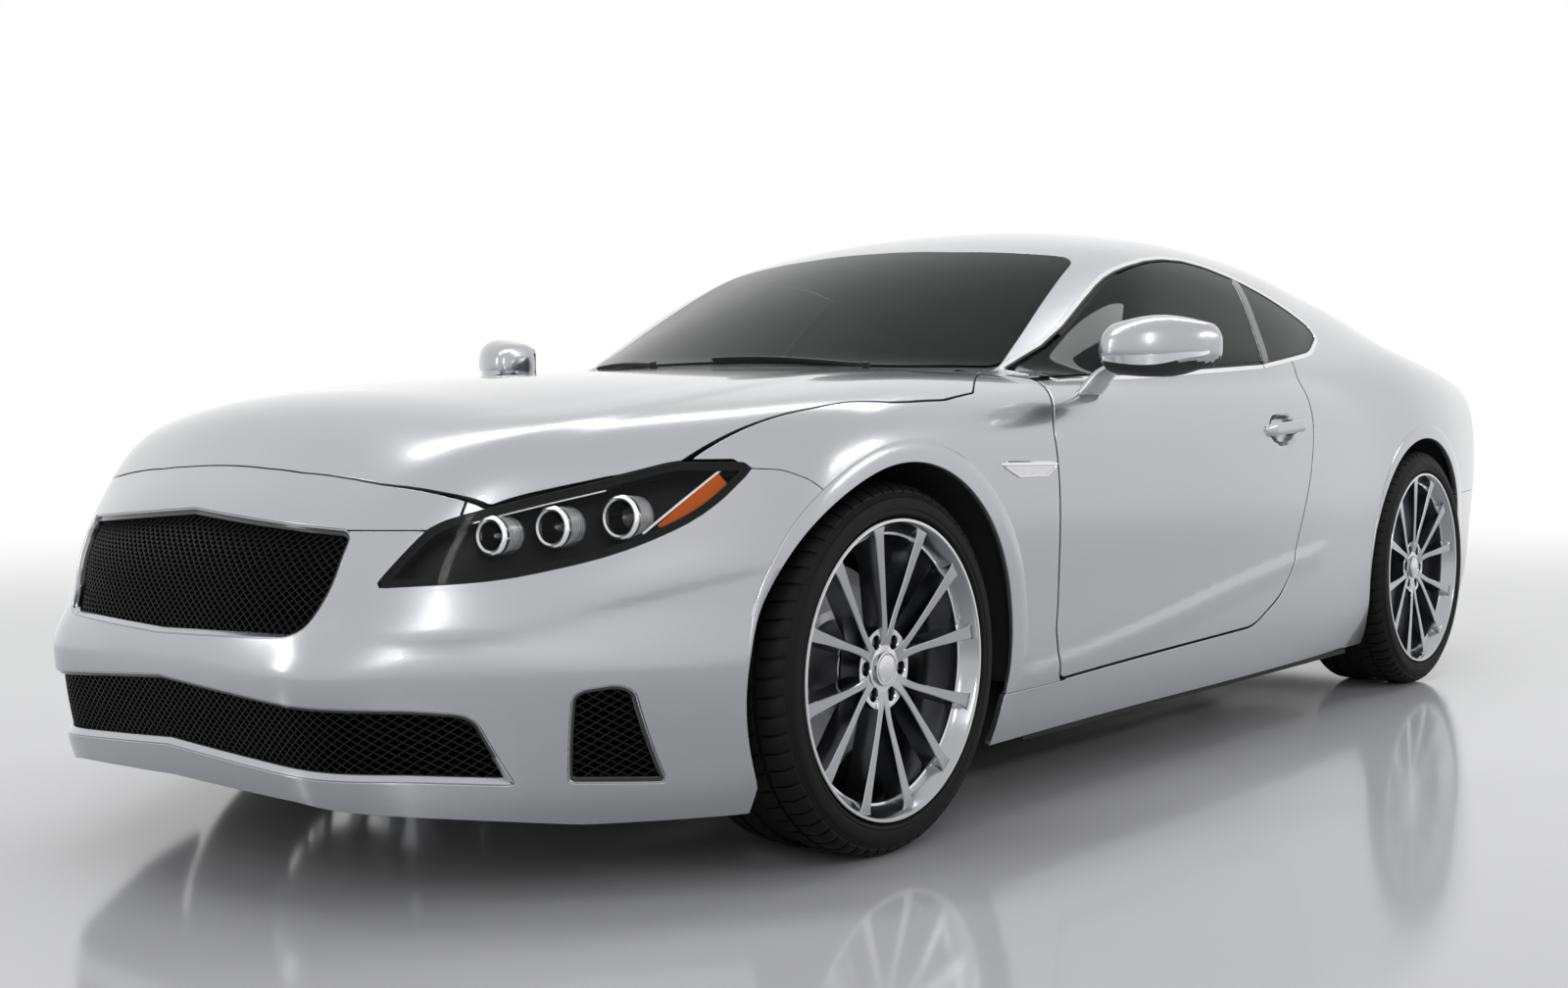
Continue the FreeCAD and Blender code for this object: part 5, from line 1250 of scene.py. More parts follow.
def on_line(rows, spacing=8.0):
    """Points of the form near a line of body points, smoothly spaced."""
    rows = np.asarray(rows, float)
    lengths = run_along(rows)
    at = np.linspace(0, lengths[-1], max(4, int(lengths[-1] / spacing)))
    curves = curves_through(np.column_stack([lengths, rows]).tolist())
    return settle(np.stack([curve(at) for curve in curves], 1), 4)


# %% [markdown]
# ## Wheel arch lips
# The arches have a flat lip that stands a few millimetres proud and ends in a crisp edge. It is a strip of its
# own, drawn in rings round the wheel, so the edge stays sharp however coarse the panel's grid is. It widens
# from the front of the arch to the rear and sinks into the panel at both feet.

# %% Lips over the four wheels
# angle from straight ahead, outer radius
lip_radius = curve_through([(-10, 392), (16, 397), (44, 414), (90, 430), (135, 440), (165, 450), (190, 452)])


def arch_lip(axle, first, last):
    """Rings of points across the lip, from the arch's edge outwards."""
    rings = []
    degrees = np.arange(first, last + 0.1, 2.0)
    for degree in degrees:
        a = math.radians(degree)
        outer = float(lip_radius(degree))
        inner = ARCH_RADIUS + 0.3
        raised = 2.8 * float(ease((degree - first) / 26) * ease((last - degree) / 34)) - 0.4
        across = [(inner, -7), (inner, raised - 1), (inner + 1, raised), ((inner + outer) / 2, raised + 0.5),
                  (outer - 3, raised), (outer - 1.2, raised - 0.7), (outer, -0.8), (outer, -7)]
        r = np.array([row[0] for row in across])
        base = cast(np.stack([axle + r * math.cos(a), 0 * r, TYRE_RADIUS + r * math.sin(a)], 1), [0, 1.0, 0])
        rings.append(base + slopes(base) * np.array([[row[1]] for row in across]))
    return loft(rings)


for end, axle, first, last in (("front", FRONT_AXLE, 2, 190), ("rear", REAR_AXLE, -10, 178)):
    lip = arch_lip(axle, first, last)
    both_hands(f"arch_lip_{end}", lip, silver_paint, "body", 38)
print("arch lips", len(lip[1]), "faces each")

# %% [markdown]
# ## Grille, intake and vents
# Behind each opening stands a net of thin upright bars, deep from front to back, so that it looks open from
# straight ahead and closed from the side. The net is drawn flat as knots and strands, laid on the form, and one
# Geometry Nodes tree turns every strand into a bar. A black frame holds it, and a dark tray closes the back.

# %% Geometry Nodes: a bar along every strand
def bar_tree():
    tree, given, result = new_tree("bars_along_a_net", {"Net": "Object", "Thickness": "Float", "Depth": "Float",
                                                        "Finish": "Material"})
    net, strands, level, section, bars, real, paint = (add(tree, kind) for kind in (
        "GeometryNodeObjectInfo", "GeometryNodeMeshToCurve", "GeometryNodeSetCurveNormal",
        "GeometryNodeCurvePrimitiveQuadrilateral", "GeometryNodeCurveToMesh", "GeometryNodeRealizeInstances",
        "GeometryNodeSetMaterial"))
    level.mode = "Z_UP"
    bars.inputs["Fill Caps"].default_value = True
    wire(tree, (given, "Net", net, "Object"), (net, "Geometry", strands, "Mesh"),
         (strands, "Curve", level, "Curve"), (given, "Depth", section, "Width"),
         (given, "Thickness", section, "Height"), (level, "Curve", bars, "Curve"),
         (section, "Curve", bars, "Profile Curve"), (bars, "Mesh", real, 0), (real, 0, paint, "Geometry"),
         (given, "Finish", paint, "Material"), (paint, 0, result, 0))
    return tree


BARS = bar_tree()


def diamond_net(rows, wide, high, sunk):
    """Knots and strands of a diamond net inside a front-view outline, laid under the form."""
    loop = outline(rows)
    low, top = loop.min(0) - 20, loop.max(0) + 20
    columns = int((top[0] - low[0]) / (wide / 2)) + 1
    lines = int((top[1] - low[1]) / (high / 2)) + 1
    grid = {(i, j): (low[0] + i * wide / 2, low[1] + j * high / 2)
            for i in range(columns) for j in range(lines) if (i + j) % 2 == 0}
    keys = list(grid)
    gap = loop_distance(loop, np.array([grid[key] for key in keys]))
    inside = {key: value < 0 for key, value in zip(keys, gap)}
    strands = [((i, j), (i + side, j + 1)) for i, j in keys for side in (-1, 1)
               if (i + side, j + 1) in inside and (inside[(i, j)] or inside[(i + side, j + 1)])]
    used = sorted({key for strand in strands for key in strand})
    at = {key: n for n, key in enumerate(used)}
    flat = np.array([grid[key] for key in used])
    knots = cast(np.stack([0 * flat[:, 0] + NOSE_CENTRE, flat[:, 0], flat[:, 1]], 1), [1.0, 0, 0])
    return knots - slopes(knots) * sunk, [(at[a], at[b]) for a, b in strands]


def netting(name, rows, wide, high, sunk, thickness, depth, both_sides):
    knots, strands = diamond_net(rows, wide, high, sunk)
    bars = grown_by_nodes(BARS, "Net", knots, strands, [], Thickness=thickness * MM, Depth=depth * MM,
                          Finish=net_black)
    shape = joined(bars, flipped(bars)) if both_sides else joined(bars)
    solid(name, shape, net_black, "body", 20)
    print(name, len(strands), "strands", len(shape[1]), "faces")


# %% Grille, intake and vents with frames, lips and trays
def opening(name, rows, wide, high, node, both_sides=False, tray=58):
    loop = on_form("front", rows, 6)
    netting(f"{name}_net", rows, wide, high, 20, 1.7, 9, both_sides)
    parts = {"frame": (strip(loop, band(-9, -0.6, -30, -7, 1.5)), gloss_black, "grille_black"),
             "return": (strip(loop, band(-2.4, 0.3, -28, -1.2, 0.8)), silver_paint, "silver_paint"),
             "duct": (strip(loop, band(-3.5, -2.6, -tray - 4, -26, 0.2)), duct_black, "black_trim")}
    for title, (shape, material, slot) in parts.items():
        shape = joined(shape, flipped(shape)) if both_sides else shape
        solid(f"{name}_{title}", shape, material, "body", 35, node if title == "frame" else None)
    back_wall = keep(nose_wall, shape_in("front", rows, beyond(NOSE_CENTRE)), 0.5)
    finish(f"{name}_tray", back_wall, 4, duct_black, "body", hem=0.4, sunk=tray)
opening("grille", GRILLE, 17, 15, "grille_upper")
opening("intake", INTAKE, 17, 15, "grille_lower")
opening("vent", VENT, 17, 15, None, True, 40)

# %% Bright lower lips of the grille and the intake
for name, rows, foot in (("grille", GRILLE, 470), ("intake", INTAKE, 262)):
    loop = on_form("front", rows, 6)
    for n, part in enumerate(stretches(loop, lambda p: p[:, 2] < foot)):
        lip = strip(part, [(-11, -13), (-0.5, -9), (-0.5, -1.5), (-2.5, -0.6), (-10, -8.5), (-11, -10)],
                    loop.mean(0), False)
        solid(f"{name}_lower_lip_{n}", lip, silver_paint, "body", 35)

# %% [markdown]
# ## Headlamps
# Under each clear cover sit three round lamps in a black bowl, stepped back along the corner. Every lamp is
# turned in one go: a thick bright ring, a deep reflector and a bulb, with a ribbed barrel behind. An amber side
# reflector and two thin bright lines follow the cover's edges.

# %% Turned lamps set at an angle
def aimed(shape, centre, axis):
    """Turns a shape from the Y axis to another direction and carries it to its place."""
    axis = np.asarray(axis, float) / np.linalg.norm(axis)
    side = np.cross([0, 0, 1.0], axis)
    side /= np.linalg.norm(side)
    up = np.cross(axis, side)
    points = np.asarray(shape[0], float)
    turned = points[:, 1:2] * axis + points[:, 0:1] * side + points[:, 2:3] * up
    return turned + centre, outward_faces(turned + centre, shape[1])


lamp_silver = finish_material("lamp_silver", (0.92, 0.93, 0.95), 0.2, 1.0, vary=0.02, scale=60)
lamp_dark = finish_material("lamp_dark", (0.05, 0.05, 0.055), 0.14, 1.0, vary=0.08, scale=30)
bulb_glass = finish_material("bulb_glass", (0.62, 0.62, 0.60), 0.08, vary=0.05, scale=200, Coat_Weight=0.8)
ribbed = finish_material("ribbed_barrel", (0.33, 0.34, 0.35), 0.2, 0.6, vary=0.15, scale=80, Coat_Weight=0.6)
LAMPS = (((2148, 570, 629), 31), ((2063, 628, 641), 33.5), ((1967, 695, 655), 36))
LAMP_AXIS = (math.cos(math.radians(8)), math.sin(math.radians(8)), 0.03)


def lamp_parts(radius):
    """Ring, reflector, barrel and bulb as profiles of (out along the axis, radius)."""
    r = radius
    ring = [(-11, r - 7.5), (-11, r + 1), (-4, r + 3), (0, r + 3), (2.6, r + 1), (4, r - 2.5), (2, r - 6),
            (-2.5, r - 8)]
    bowl = [(-2.5, r - 7.6), (-8, r - 8.6), (-20, r - 12), (-31, r - 18), (-37, 7), (-38, 0.01), (-41, 0.01),
            (-40, 8), (-34, r - 16), (-22, r - 9.5), (-9, r - 6.4)]
    barrel = [(-50, r - 9), (-50, r)]
    for k in range(7):
        w = k * 5.6
        barrel += [(w - 47, r), (w - 45.5, r + 1.6), (w - 43.5, r + 1.6), (w - 42, r)]
    barrel += [(-8, r), (-8, r - 2.5), (-47, r - 2.5)]
    bulb = [(-38, 0.01), (-38, 5.5), (-30, 5.5), (-28, 4), (-17, 4.4), (-12, 3.6), (-9.5, 1.8), (-9, 0.01)]
    return ring, bowl, barrel, bulb


lamp_material = {"lamp_rings": lamp_silver, "lamp_reflectors": lamp_dark, "lamp_barrels": ribbed,
                 "lamp_bulbs": bulb_glass}
lamp_shapes = {name: [] for name in lamp_material}
for centre, radius in LAMPS:
    for name, profile in zip(lamp_shapes, lamp_parts(radius)):
        lamp_shapes[name].append(aimed(lathe(profile, 64), centre, LAMP_AXIS))
for name, shapes in lamp_shapes.items():
    both_hands(name, joined(*shapes), lamp_material[name], "body", 30)

# %% Cover, bowl, border and reflectors
lamp_wall = round_grid(NOSE_CENTRE, (14, 74), (538, 756), 800, pitch=PITCH * 0.7)
cover = keep(lamp_wall, lamp_lines, 1.0)
pair("headlamp_cover", cover, 3, clear_lens, "headlamp_lenses", slot="clear_lens", hem=0.8)
pair("headlamp_bowl", keep(lamp_wall, lamp_lines, 2.0), 3, lamp_black, "headlamp_bowls", slot="black_trim", hem=0.6,
     sunk=66)
lamp_loop = on_form("front", HEADLAMP, 6)
LAMP_MIDDLE = (2060, 600, 640)
for name, section, material in (("wall", band(-2.4, -1.0, -68, -3.4, 0.2), lamp_black),
                                ("border", band(-14, -1.2, -6.5, -3.3, 0.3), lamp_black),
                                ("seal", band(-0.9, 0.9, -8, -1.4, 0.3), window_rubber)):
    both_hands(f"headlamp_{name}", strip(lamp_loop, section), material, "body", 35)
for name, line, section, material, slot in (
        ("line", [(2166, 546, 653), (2060, 618, 682), (1976, 672, 703)], band(-1.6, 1.6, -12, -8), lamp_silver,
         "lamp_housing"),
        ("blade", [(1935, 731, 617), (1874, 762, 668), (1809, 799, 724)], band(-17, -12, -11, -7), lamp_silver,
         "lamp_housing"),
        ("amber", [(1909, 750, 627), (1860, 776, 672), (1812, 803, 713)], band(-22, 8, -12, -7, 2), amber, None)):
    shape = strip(on_line(line), section, LAMP_MIDDLE, False)
    both_hands(f"headlamp_{name}", shape, material, "body", 35)
print("headlamp cover", len(cover[1]), "faces")

# %% [markdown]
# ## Bright trim round the side glass
# A bright strip runs right round the side windows: over the top and back it is fixed to the body, and along the
# belt its front part rides on the door. A rubber lip lies inside it. The post between door glass and quarter
# glass is covered in gloss black, and so is the corner ahead of the door glass.

# %% Trim, seal and post cover
glass_loop = on_form("side", SIDE_WINDOWS, 9)
glass_middle = glass_loop.mean(0)


def on_door_belt(p):
    """Along the lower edge of the door glass."""
    return (np.abs(p[:, 2] - belt_line(p)) < 5) & (p[:, 0] > -306) & (p[:, 0] < 768)


trims = [("belt", on_door_belt, "door_{side}"), ("frame", lambda p: ~on_door_belt(p), "body")]
for title, test, body in trims:
    for n, part in enumerate(stretches(glass_loop, test)):
        bright = strip(part, band(1.2, 13.5, -1.5, 2.6, 1.2), glass_middle, False)
        rubber = strip(part, band(-4.5, 1.0, -2.5, 1.2, 0.8), glass_middle, False)
        for side, turn_over in HANDS:
            place = body.format(side=side)
            solid(f"window_trim_{title}_{n}_{side}", turn_over(bright), chrome, place, 35)
            solid(f"window_lip_{title}_{n}_{side}", turn_over(rubber), window_rubber, place, 35)

post = keep(panes, lambda p: np.maximum(np.maximum(window_lines(p), -behind_post(p)), -ahead_of_post(p)), 1.2)
pair("post_cover", post, 1.6, gloss_black, None, slot="black_trim", hem=0.5, sunk=-1.7)
corner_cover = keep(front_pane, lambda p: 668 - p[:, 0] - (p[:, 2] - 897) * 0.2, 1.0)
pair("mirror_corner", corner_cover, 2.4, gloss_black, None, "door_{side}", "black_trim", hem=0.6, sunk=-1.0)
print("trim stretches", len(stretches(glass_loop, on_door_belt)))

# %% [markdown]
# ## Door mirrors
# The housing is a loft through soft sections that swell and shrink along its length, blunt at the back where
# the glass sits. A lamp strip runs low along the front, the underside is black, and a short blade of a foot
# carries it from the corner of the glass.

# %% Mirror housing, glass, lamp strip and foot
# distance off the middle, front x, rear x, low z, high z
MIRROR = [(912, 704, 640, 934, 986), (926, 724, 604, 916, 1010), (950, 735, 586, 907, 1023),
          (1000, 726, 573, 903, 1033), (1060, 692, 563, 907, 1032), (1108, 642, 557, 921, 1019),
          (1126, 612, 557, 932, 1006), (1133, 594, 562, 946, 992)]
mirror_curves = curves_through(MIRROR)


def mirror_section(y, degrees, grow=0.0):
    """A point of the housing's section at that distance off the middle."""
    front, rear, low, high = (float(curve(y)) for curve in mirror_curves)
    a = math.radians(degrees)
    c, s = math.cos(a), math.sin(a)
    power = 2 / 2.3 if c > 0 else 2 / 5.0
    half_x, half_z = (front - rear) / 2 + grow, (high - low) / 2 + grow
    return np.array([(front + rear) / 2 + half_x * math.copysign(abs(c) ** power, c), y,
                     (low + high) / 2 + half_z * math.copysign(abs(s) ** (2 / 2.4), s)])


def ring_at(y, grow=0.0):
    return [mirror_section(y, k * 360 / 56, grow) for k in range(56)]


ys = [911.5, 914, 918, 924, 932, 944, 960, 980, 1000, 1020, 1040, 1060, 1080, 1096, 1108, 1118, 1125, 1130, 1133]
housing = loft([ring_at(911, -22)] + [ring_at(y) for y in ys] + [ring_at(1134, -10)])
lamp_rings_at = []
for y in np.linspace(936, 1126, 30):
    low_edge, high_edge = -24 - 10 * math.sin((y - 936) / 190 * math.pi), -14
    lamp_rings_at.append([mirror_section(y, low_edge, 1.2), mirror_section(y, high_edge, 1.2),
                          mirror_section(y, high_edge, -2), mirror_section(y, low_edge, -2)])
lamp_bar = loft(lamp_rings_at)
glass_rings = []
for y in np.linspace(930, 1120, 16):
    front, rear, low, high = (float(curve(y)) for curve in mirror_curves)
    ease_in = 9 + 10 * (1 - math.sin((y - 930) / 190 * math.pi) ** 0.5)
    glass_rings.append([(rear - 0.8, y, low + ease_in), (rear + 2, y, low + ease_in), (rear + 2, y, high - ease_in),
                        (rear - 0.8, y, high - ease_in)])
mirror_pane = loft(glass_rings)
# height, rear x, front x, inner y, outer y
FOOT = [(866, 606, 694, 832, 880), (884, 609, 691, 848, 896), (905, 613, 688, 868, 914), (922, 618, 689, 892, 946),
        (940, 625, 691, 930, 990), (952, 630, 690, 944, 1000)]
foot_curves = curves_through(FOOT)
foot_rings = []
for z in np.linspace(866, 950, 14):
    rear, front, inner, outer = (float(curve(z)) for curve in foot_curves)
    ring = []
    for k in range(28):
        a = 2 * math.pi * k / 28
        c, s = math.cos(a), math.sin(a)
        ring.append(((front + rear) / 2 + (front - rear) / 2 * math.copysign(abs(c) ** 0.85, c),
                     (inner + outer) / 2 + (outer - inner) / 2 * math.copysign(abs(s) ** 0.8, s), z))
    foot_rings.append(ring)
mirror_foot = loft(foot_rings)
for side, turn_over in HANDS:
    body = f"door_{side}"
    piece = solid(f"mirror_housing_{side}", turn_over(housing), silver_paint, body, 40,
                  f"mirror_{side}")
    piece.data.materials.append(black_plastic)
    for polygon in piece.data.polygons:
        if polygon.normal.z < -0.42:
            polygon.material_index = 1
    solid(f"mirror_lamp_{side}", turn_over(lamp_bar), lamp_silver, body, 40)
    solid(f"mirror_pane_{side}", turn_over(mirror_pane), mirror_glass, body, 40)
    solid(f"mirror_foot_{side}", turn_over(mirror_foot), silver_paint, body, 50)

# %% [markdown]
# ## Door handles and fender trims
# A handle is a slim arched bar over a dish in the door skin; the dish itself is part of the form's formula. The
# trim on each fender is a satin inlay behind the arch with a bright edge and one bright blade along its top.

# %% Handles
handle_line = on_line([(-171, 904, 777), (-225, 903, 780), (-296, 900, 784), (-360, 899, 787), (-421, 898, 790)], 6)
plain_x = np.linspace(-171, -421, len(handle_line))
plain_y = np.interp(plain_x, [-421, -171], [handle_line[-1, 1], handle_line[0, 1]])
plain_line = np.stack([plain_x, plain_y, np.linspace(777, 790, len(handle_line))], 1)
share = np.linspace(0, 1, len(plain_line))
rise = 17 * np.minimum(1, np.minimum(share, 1 - share) / 0.13) ** 0.7
rings = []
for point, up_by, t in zip(plain_line, rise, share):
    half_high = 16 * (0.72 + 0.28 * min(1, min(t, 1 - t) / 0.1))
    rings.append([(point[0], point[1] + up_by - 3 + 5.5 * math.sin(k * math.pi / 10),
                   point[2] + half_high * math.cos(k * math.pi / 10)) for k in range(20)])
both_hands("door_handle", loft(rings), silver_paint, "door_{side}", 50)

# %% Fender trims
TRIM = [(1124, 731, 6), (1038, 699, 10), (924, 698, 10), (868, 724, 6)]
trim_sheet = keep(section_grid(850, 1140, 8, 40), shape_in("side", TRIM), 0.6)
pair("fender_trim", trim_sheet, 2.4, satin_trim, None, slot="silver_paint", hem=0.6, sunk=-0.9)
trim_edge = strip(on_form("side", TRIM, 5), [(-2.2, 0), (2.2, 0), (1.8, 2.6), (0, 3.4), (-1.8, 2.6)])
both_hands("fender_trim_edge", trim_edge, chrome, "body", 45)
blade_line = on_line([(1112, 919, 726), (990, 918, 723.5), (882, 913, 721)], 6)
blade = strip(blade_line, [(-3.4, 0), (3.4, 0), (2.6, 3.4), (0, 4.4), (-2.6, 3.4)], (1000, 918, 600), False)
both_hands("fender_blade", blade, chrome, "body", 45)
print("fender trim", len(trim_sheet[1]), "faces")

# %% [markdown]
# ## Tail lamps and tailpipes
# The tail lamps are moulded red covers over a bright reflector. The tailpipes are polished double-walled rings
# round the ends of the pipes.

# %% Tail lamps
tail_wall = round_grid(TAIL_CENTRE, (20, 62), (700, 920), 950, -1, PITCH * 0.6)
red_cover = keep(tail_wall, tail_lamp_lines, 1.0)
pair("tail_lamp_cover", red_cover, 4, red_lens, "tail_lamps", slot="red_lens", hem=0.8)
pair("tail_lamp_back", keep(tail_wall, tail_lamp_lines, 1.6), 30, lamp_silver, "tail_lamps",
     slot="lamp_housing", hem=0.4, sunk=5)


# %% Tailpipes
tip_profile = [(2, 40), (-4, 41.5), (-8, 40), (-8, 37), (-4, 35), (60, 34), (100, 34), (100, 38), (60, 38.5)]
tip_turned = lathe([(-w, r) for w, r in tip_profile], 64)
for side, hand in (("left", 1), ("right", -1)):
    tip = aimed(tip_turned, (-2228, hand * TAILPIPE_OUT, TAILPIPE_Z), (-1, 0, 0))
    solid(f"tailpipe_{side}", tip, chrome, "body", 35)

# %% [markdown]
# ## The cabin
# Seats are padded forms: a flat middle with soft channels, raised bolsters at both sides and a seam between
# them. Each is one closed mesh drawn ring by ring across its width, with the seams pressed in. They could also be
# inflated by a cloth simulation, but a car seat is foam cut to shape, so a drawn form is closer to the real one.

# %% A padded form between two sides
def dip(distance, half):
    return np.exp(-(distance / half) ** 2)


def padded_form(half_width, low, high, long, bolster, seams, channels=0, taper=0.0, rounds=84, across=44):
    """Rings across the width: rows run along the pad (u), its thickness (v) and its width (w)."""
    share = np.sin(np.linspace(-math.pi / 2, math.pi / 2, across))
    turn = np.linspace(0, 2 * math.pi, rounds, endpoint=False)
    c, s = np.cos(turn), np.sin(turn)
    rings = []
    for w in share:
        edge = max(1e-3, 1 - abs(w) ** 7) ** (1 / 5)
        u = long / 2 * (0.9 + 0.1 * edge) * np.sign(c) * np.abs(c) ** (2 / 5.5)
        face = high + bolster * float(ease((abs(w) - 0.5) / 0.3)) - 0.16 * bolster * (1 - abs(w))
        v = (low + face) / 2 + (face - low) / 2 * edge * np.sign(s) * np.abs(s) ** (2 / 3.6)
        upper = np.clip(s * 1.6, 0, 1)
        pressed = sum(6 * dip((abs(w) - seam) * half_width, 4.5) for seam in seams)
        if channels and abs(w) < seams[0]:
            pitch = long * 0.78 / channels
            pressed = pressed + 5 * dip((u / pitch - np.round(u / pitch)) * pitch, 5) * (np.abs(u) < long * 0.39)
        v = v - pressed * upper
        width = half_width * w * (1 - taper * ease(u / long + 0.5))
        rings.append(np.stack([u, v, width], 1))
    return loft(rings)


def set_down(shape, middle, along, out):
    """Lays a padded form in the car: its length runs along one direction and its face looks another way."""
    along, out = (np.asarray(d, float) / np.linalg.norm(d) for d in (along, out))
    points = np.asarray(shape[0], float)
    turned = points[:, 0:1] * along + points[:, 1:2] * out + points[:, 2:3] * np.array([0, 1.0, 0])
    return turned + middle, outward_faces(turned + middle, shape[1])


def pad(name, shape, material, node):
    piece = solid(name, shape, material, "body", 180)
    if node:
        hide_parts(node)


# %% Front seats
LYING = (1, 0, 0), (0, 0, 1)
LEANING = (-0.215, 0, 0.977), (0.977, 0, 0.215)
LEANING_BACK = (-0.28, 0, 0.96), (0.96, 0, 0.28)
cushion = padded_form(228, -62, 56, 500, 20, (0.6,), 5)
back = padded_form(226, -46, 46, 500, 26, (0.58,), 6, taper=0.16)
rest = padded_form(120, -34, 36, 118, 6, (0.8,), 0, taper=0.08)
for side, hand in (("left", 1), ("right", -1)):
    y = 375 * hand
    pad(f"seat_cushion_{side}", set_down(cushion, (-62, y, 366), *LYING), seat_hide, "front_seats")
    pad(f"seat_back_{side}", set_down(back, (-268, y, 648), *LEANING), seat_hide, "front_seats")
    pad(f"head_rest_{side}", set_down(rest, (-352, y, 982), *LEANING), seat_hide, None)
    posts = [loft([[(x + 5 * math.cos(k), y + out + 5 * math.sin(k), z) for k in np.arange(12) * math.pi / 6]
                   for x, z in ((-326, 880), (-352, 960))]) for out in (-38, 38)]
    solid(f"head_rest_posts_{side}", joined(*posts), satin_trim, "body", 40)
    plinth = loft([[(x, y + w, z) for x, w in ((-240, -168), (130, -168), (130, 168), (-240, 168))]
                   for z in (191, 305)])
    solid(f"seat_rails_{side}", plinth, forged_metal, "body", 30)

# %% Rear seats with the armrest between them
cushion = padded_form(178, -48, 52, 400, 14, (0.62,), 4)
back = padded_form(176, -42, 44, 500, 18, (0.62,), 5, taper=0.08)
for side, hand in (("left", 1), ("right", -1)):
    y = 318 * hand
    pad(f"rear_cushion_{side}", set_down(cushion, (-652, y, 374), *LYING), seat_hide, "rear_seats")
    pad(f"rear_back_{side}", set_down(back, (-836, y, 640), *LEANING_BACK), seat_hide, "rear_seats")
middle_back = padded_form(128, -46, 30, 470, 4, (0.86,), 0)
pad("rear_back_middle", set_down(middle_back, (-840, 0, 650), *LEANING_BACK), dark_hide, None)
armrest = padded_form(118, -26, 28, 380, 3, (0.84,), 0)
pad("rear_armrest", set_down(armrest, (-660, 0, 434), *LYING), dark_hide, None)
print("seats", len(cushion[1]), "faces each")


# %% [markdown]
# ## Dashboard and steering wheel
# The dashboard is a soft roll from door to door, with two dials, round vents and a plain screen.
# The wheel has a turned rim, three spokes and a soft boss, and turns with its shaft.

# %% Dashboard roll, console and dials
DASH = [(899, 566), (899, 832), (870, 843), (700, 849), (612, 826), (566, 792), (545, 742), (524, 702), (530, 676),
        (580, 618), (640, 570)]
smooth_x, smooth_z = curves_through([(k, x, z) for k, (x, z) in enumerate(DASH)])
ks = np.linspace(0, len(DASH) - 1, 60)
dash_rings = []
for w in np.sin(np.linspace(-math.pi / 2, math.pi / 2, 46)) * 656:
    inset = 0.97 + 0.03 * (1 - abs(w / 656) ** 8)
    x, z = smooth_x(ks), smooth_z(ks)
    dash_rings.append(np.stack([700 + (x - 700) * inset, 0 * x + w, 700 + (z - 700) * inset], 1))
solid("dashboard_roll", loft(dash_rings), dark_hide, "body", 40, "dashboard")
console_rings = []
for x in np.linspace(-296, 640, 24):
    top = 545 + 14 * float(ease((x - 380) / 200)) - 40 * float(ease((-120 - x) / 160))
    console_rings.append([(x, -116, 402), (x, 116, 402), (x, 118, top - 22), (x, 104, top), (x, -104, top),
                          (x, -118, top - 22)])
solid("console", loft(console_rings), dark_hide, "body", 30)
dial_parts, ring_parts = [], []
# columns: radius, depth and height of the ring, depth of the face, place and aim, distances off the middle
for r, deep, high, thin, x, z, way, ys in ((50, 8, 12, 3, 552, 770, (-0.93, 0, 0.36), (305, 435)),
                                           (30, 6, 9, 2, 535, 728, (-0.97, 0, 0.24), (-560, -250, 90, 590))):
    ring = lathe([(0, r), (0, r + 8), (deep, r + 8), (high, r + 5), (deep, r + 1)], 48)
    face = lathe([(0, 0.01), (0, r + 1), (thin, r + 1), (thin, 0.01)], 48)
    for y in ys:
        ring_parts.append(aimed(ring, (x, y, z), way))
        dial_parts.append(aimed(face, (x, y, z), way))
solid("dial_rings", joined(*ring_parts), satin_trim, "body", 35)
solid("dial_faces", joined(*dial_parts), gloss_black, "body", 35)
screen_rings = [[(x, y, z) for x, z in ((526, 688), (540, 752), (552, 750), (538, 686))] for y in (-160, 15)]
solid("centre_screen", loft(screen_rings), gloss_black, "body", 30)

# %% Steering wheel
WHEEL_WAY = np.array([-math.cos(math.radians(24)), 0, math.sin(math.radians(24))])
wheel_at = (330, 370, 800)
rim_round = lathe([(13.2 * c, 180 + 13.2 * s) for c, s in circle(20)], 120)
solid("steering_rim", aimed(rim_round, wheel_at, WHEEL_WAY), dark_hide, "steering_wheel", 180,
      "steering_wheel")
boss = lathe([(-30, 0.01), (-30, 50), (-6, 54), (4, 52), (12, 44), (17, 30), (19, 12), (19.5, 0.01)], 64)
solid("steering_boss", aimed(boss, wheel_at, WHEEL_WAY), dark_hide, "steering_wheel", 40)
# columns: distance from the middle, half-width, thickness, height
ARM_ROWS = [(46, 30, 10, 4), (90, 22, 8, 2), (140, 17, 6, 0), (172, 20, 5, 0)]
arms = []
for degrees in (0, 180, -90):
    a = math.radians(degrees)
    c, s = math.cos(a), math.sin(a)
    arm_rings = []
    for reach, half, thick, level in ARM_ROWS:
        section = [(-half, -thick), (half, -thick), (half * 0.9, thick * 0.2), (0, thick * 0.5),
                   (-half * 0.9, thick * 0.2)]
        arm_rings.append([(reach * c - w * s, level + d, reach * s + w * c) for w, d in section])
    arms.append(loft(arm_rings))
solid("steering_spokes", aimed(joined(*arms), wheel_at, WHEEL_WAY), satin_trim, "steering_wheel", 40)
shaft = lathe([(-318, 0.01), (-318, 23.5), (-26, 23.5), (-26, 0.01)], 48)
solid("steering_shaft", aimed(shaft, wheel_at, WHEEL_WAY), black_plastic, "steering_wheel", 40)

# %% [markdown]
# ## Hinges and all that lies under the skin
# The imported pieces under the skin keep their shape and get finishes: cast arms and hubs, forged beams, underseal
# on the floor. The arms that carry hood and boot lid, and the hinge leaves of the doors, are made again, because
# their CAD forms are part of the panels that were replaced.

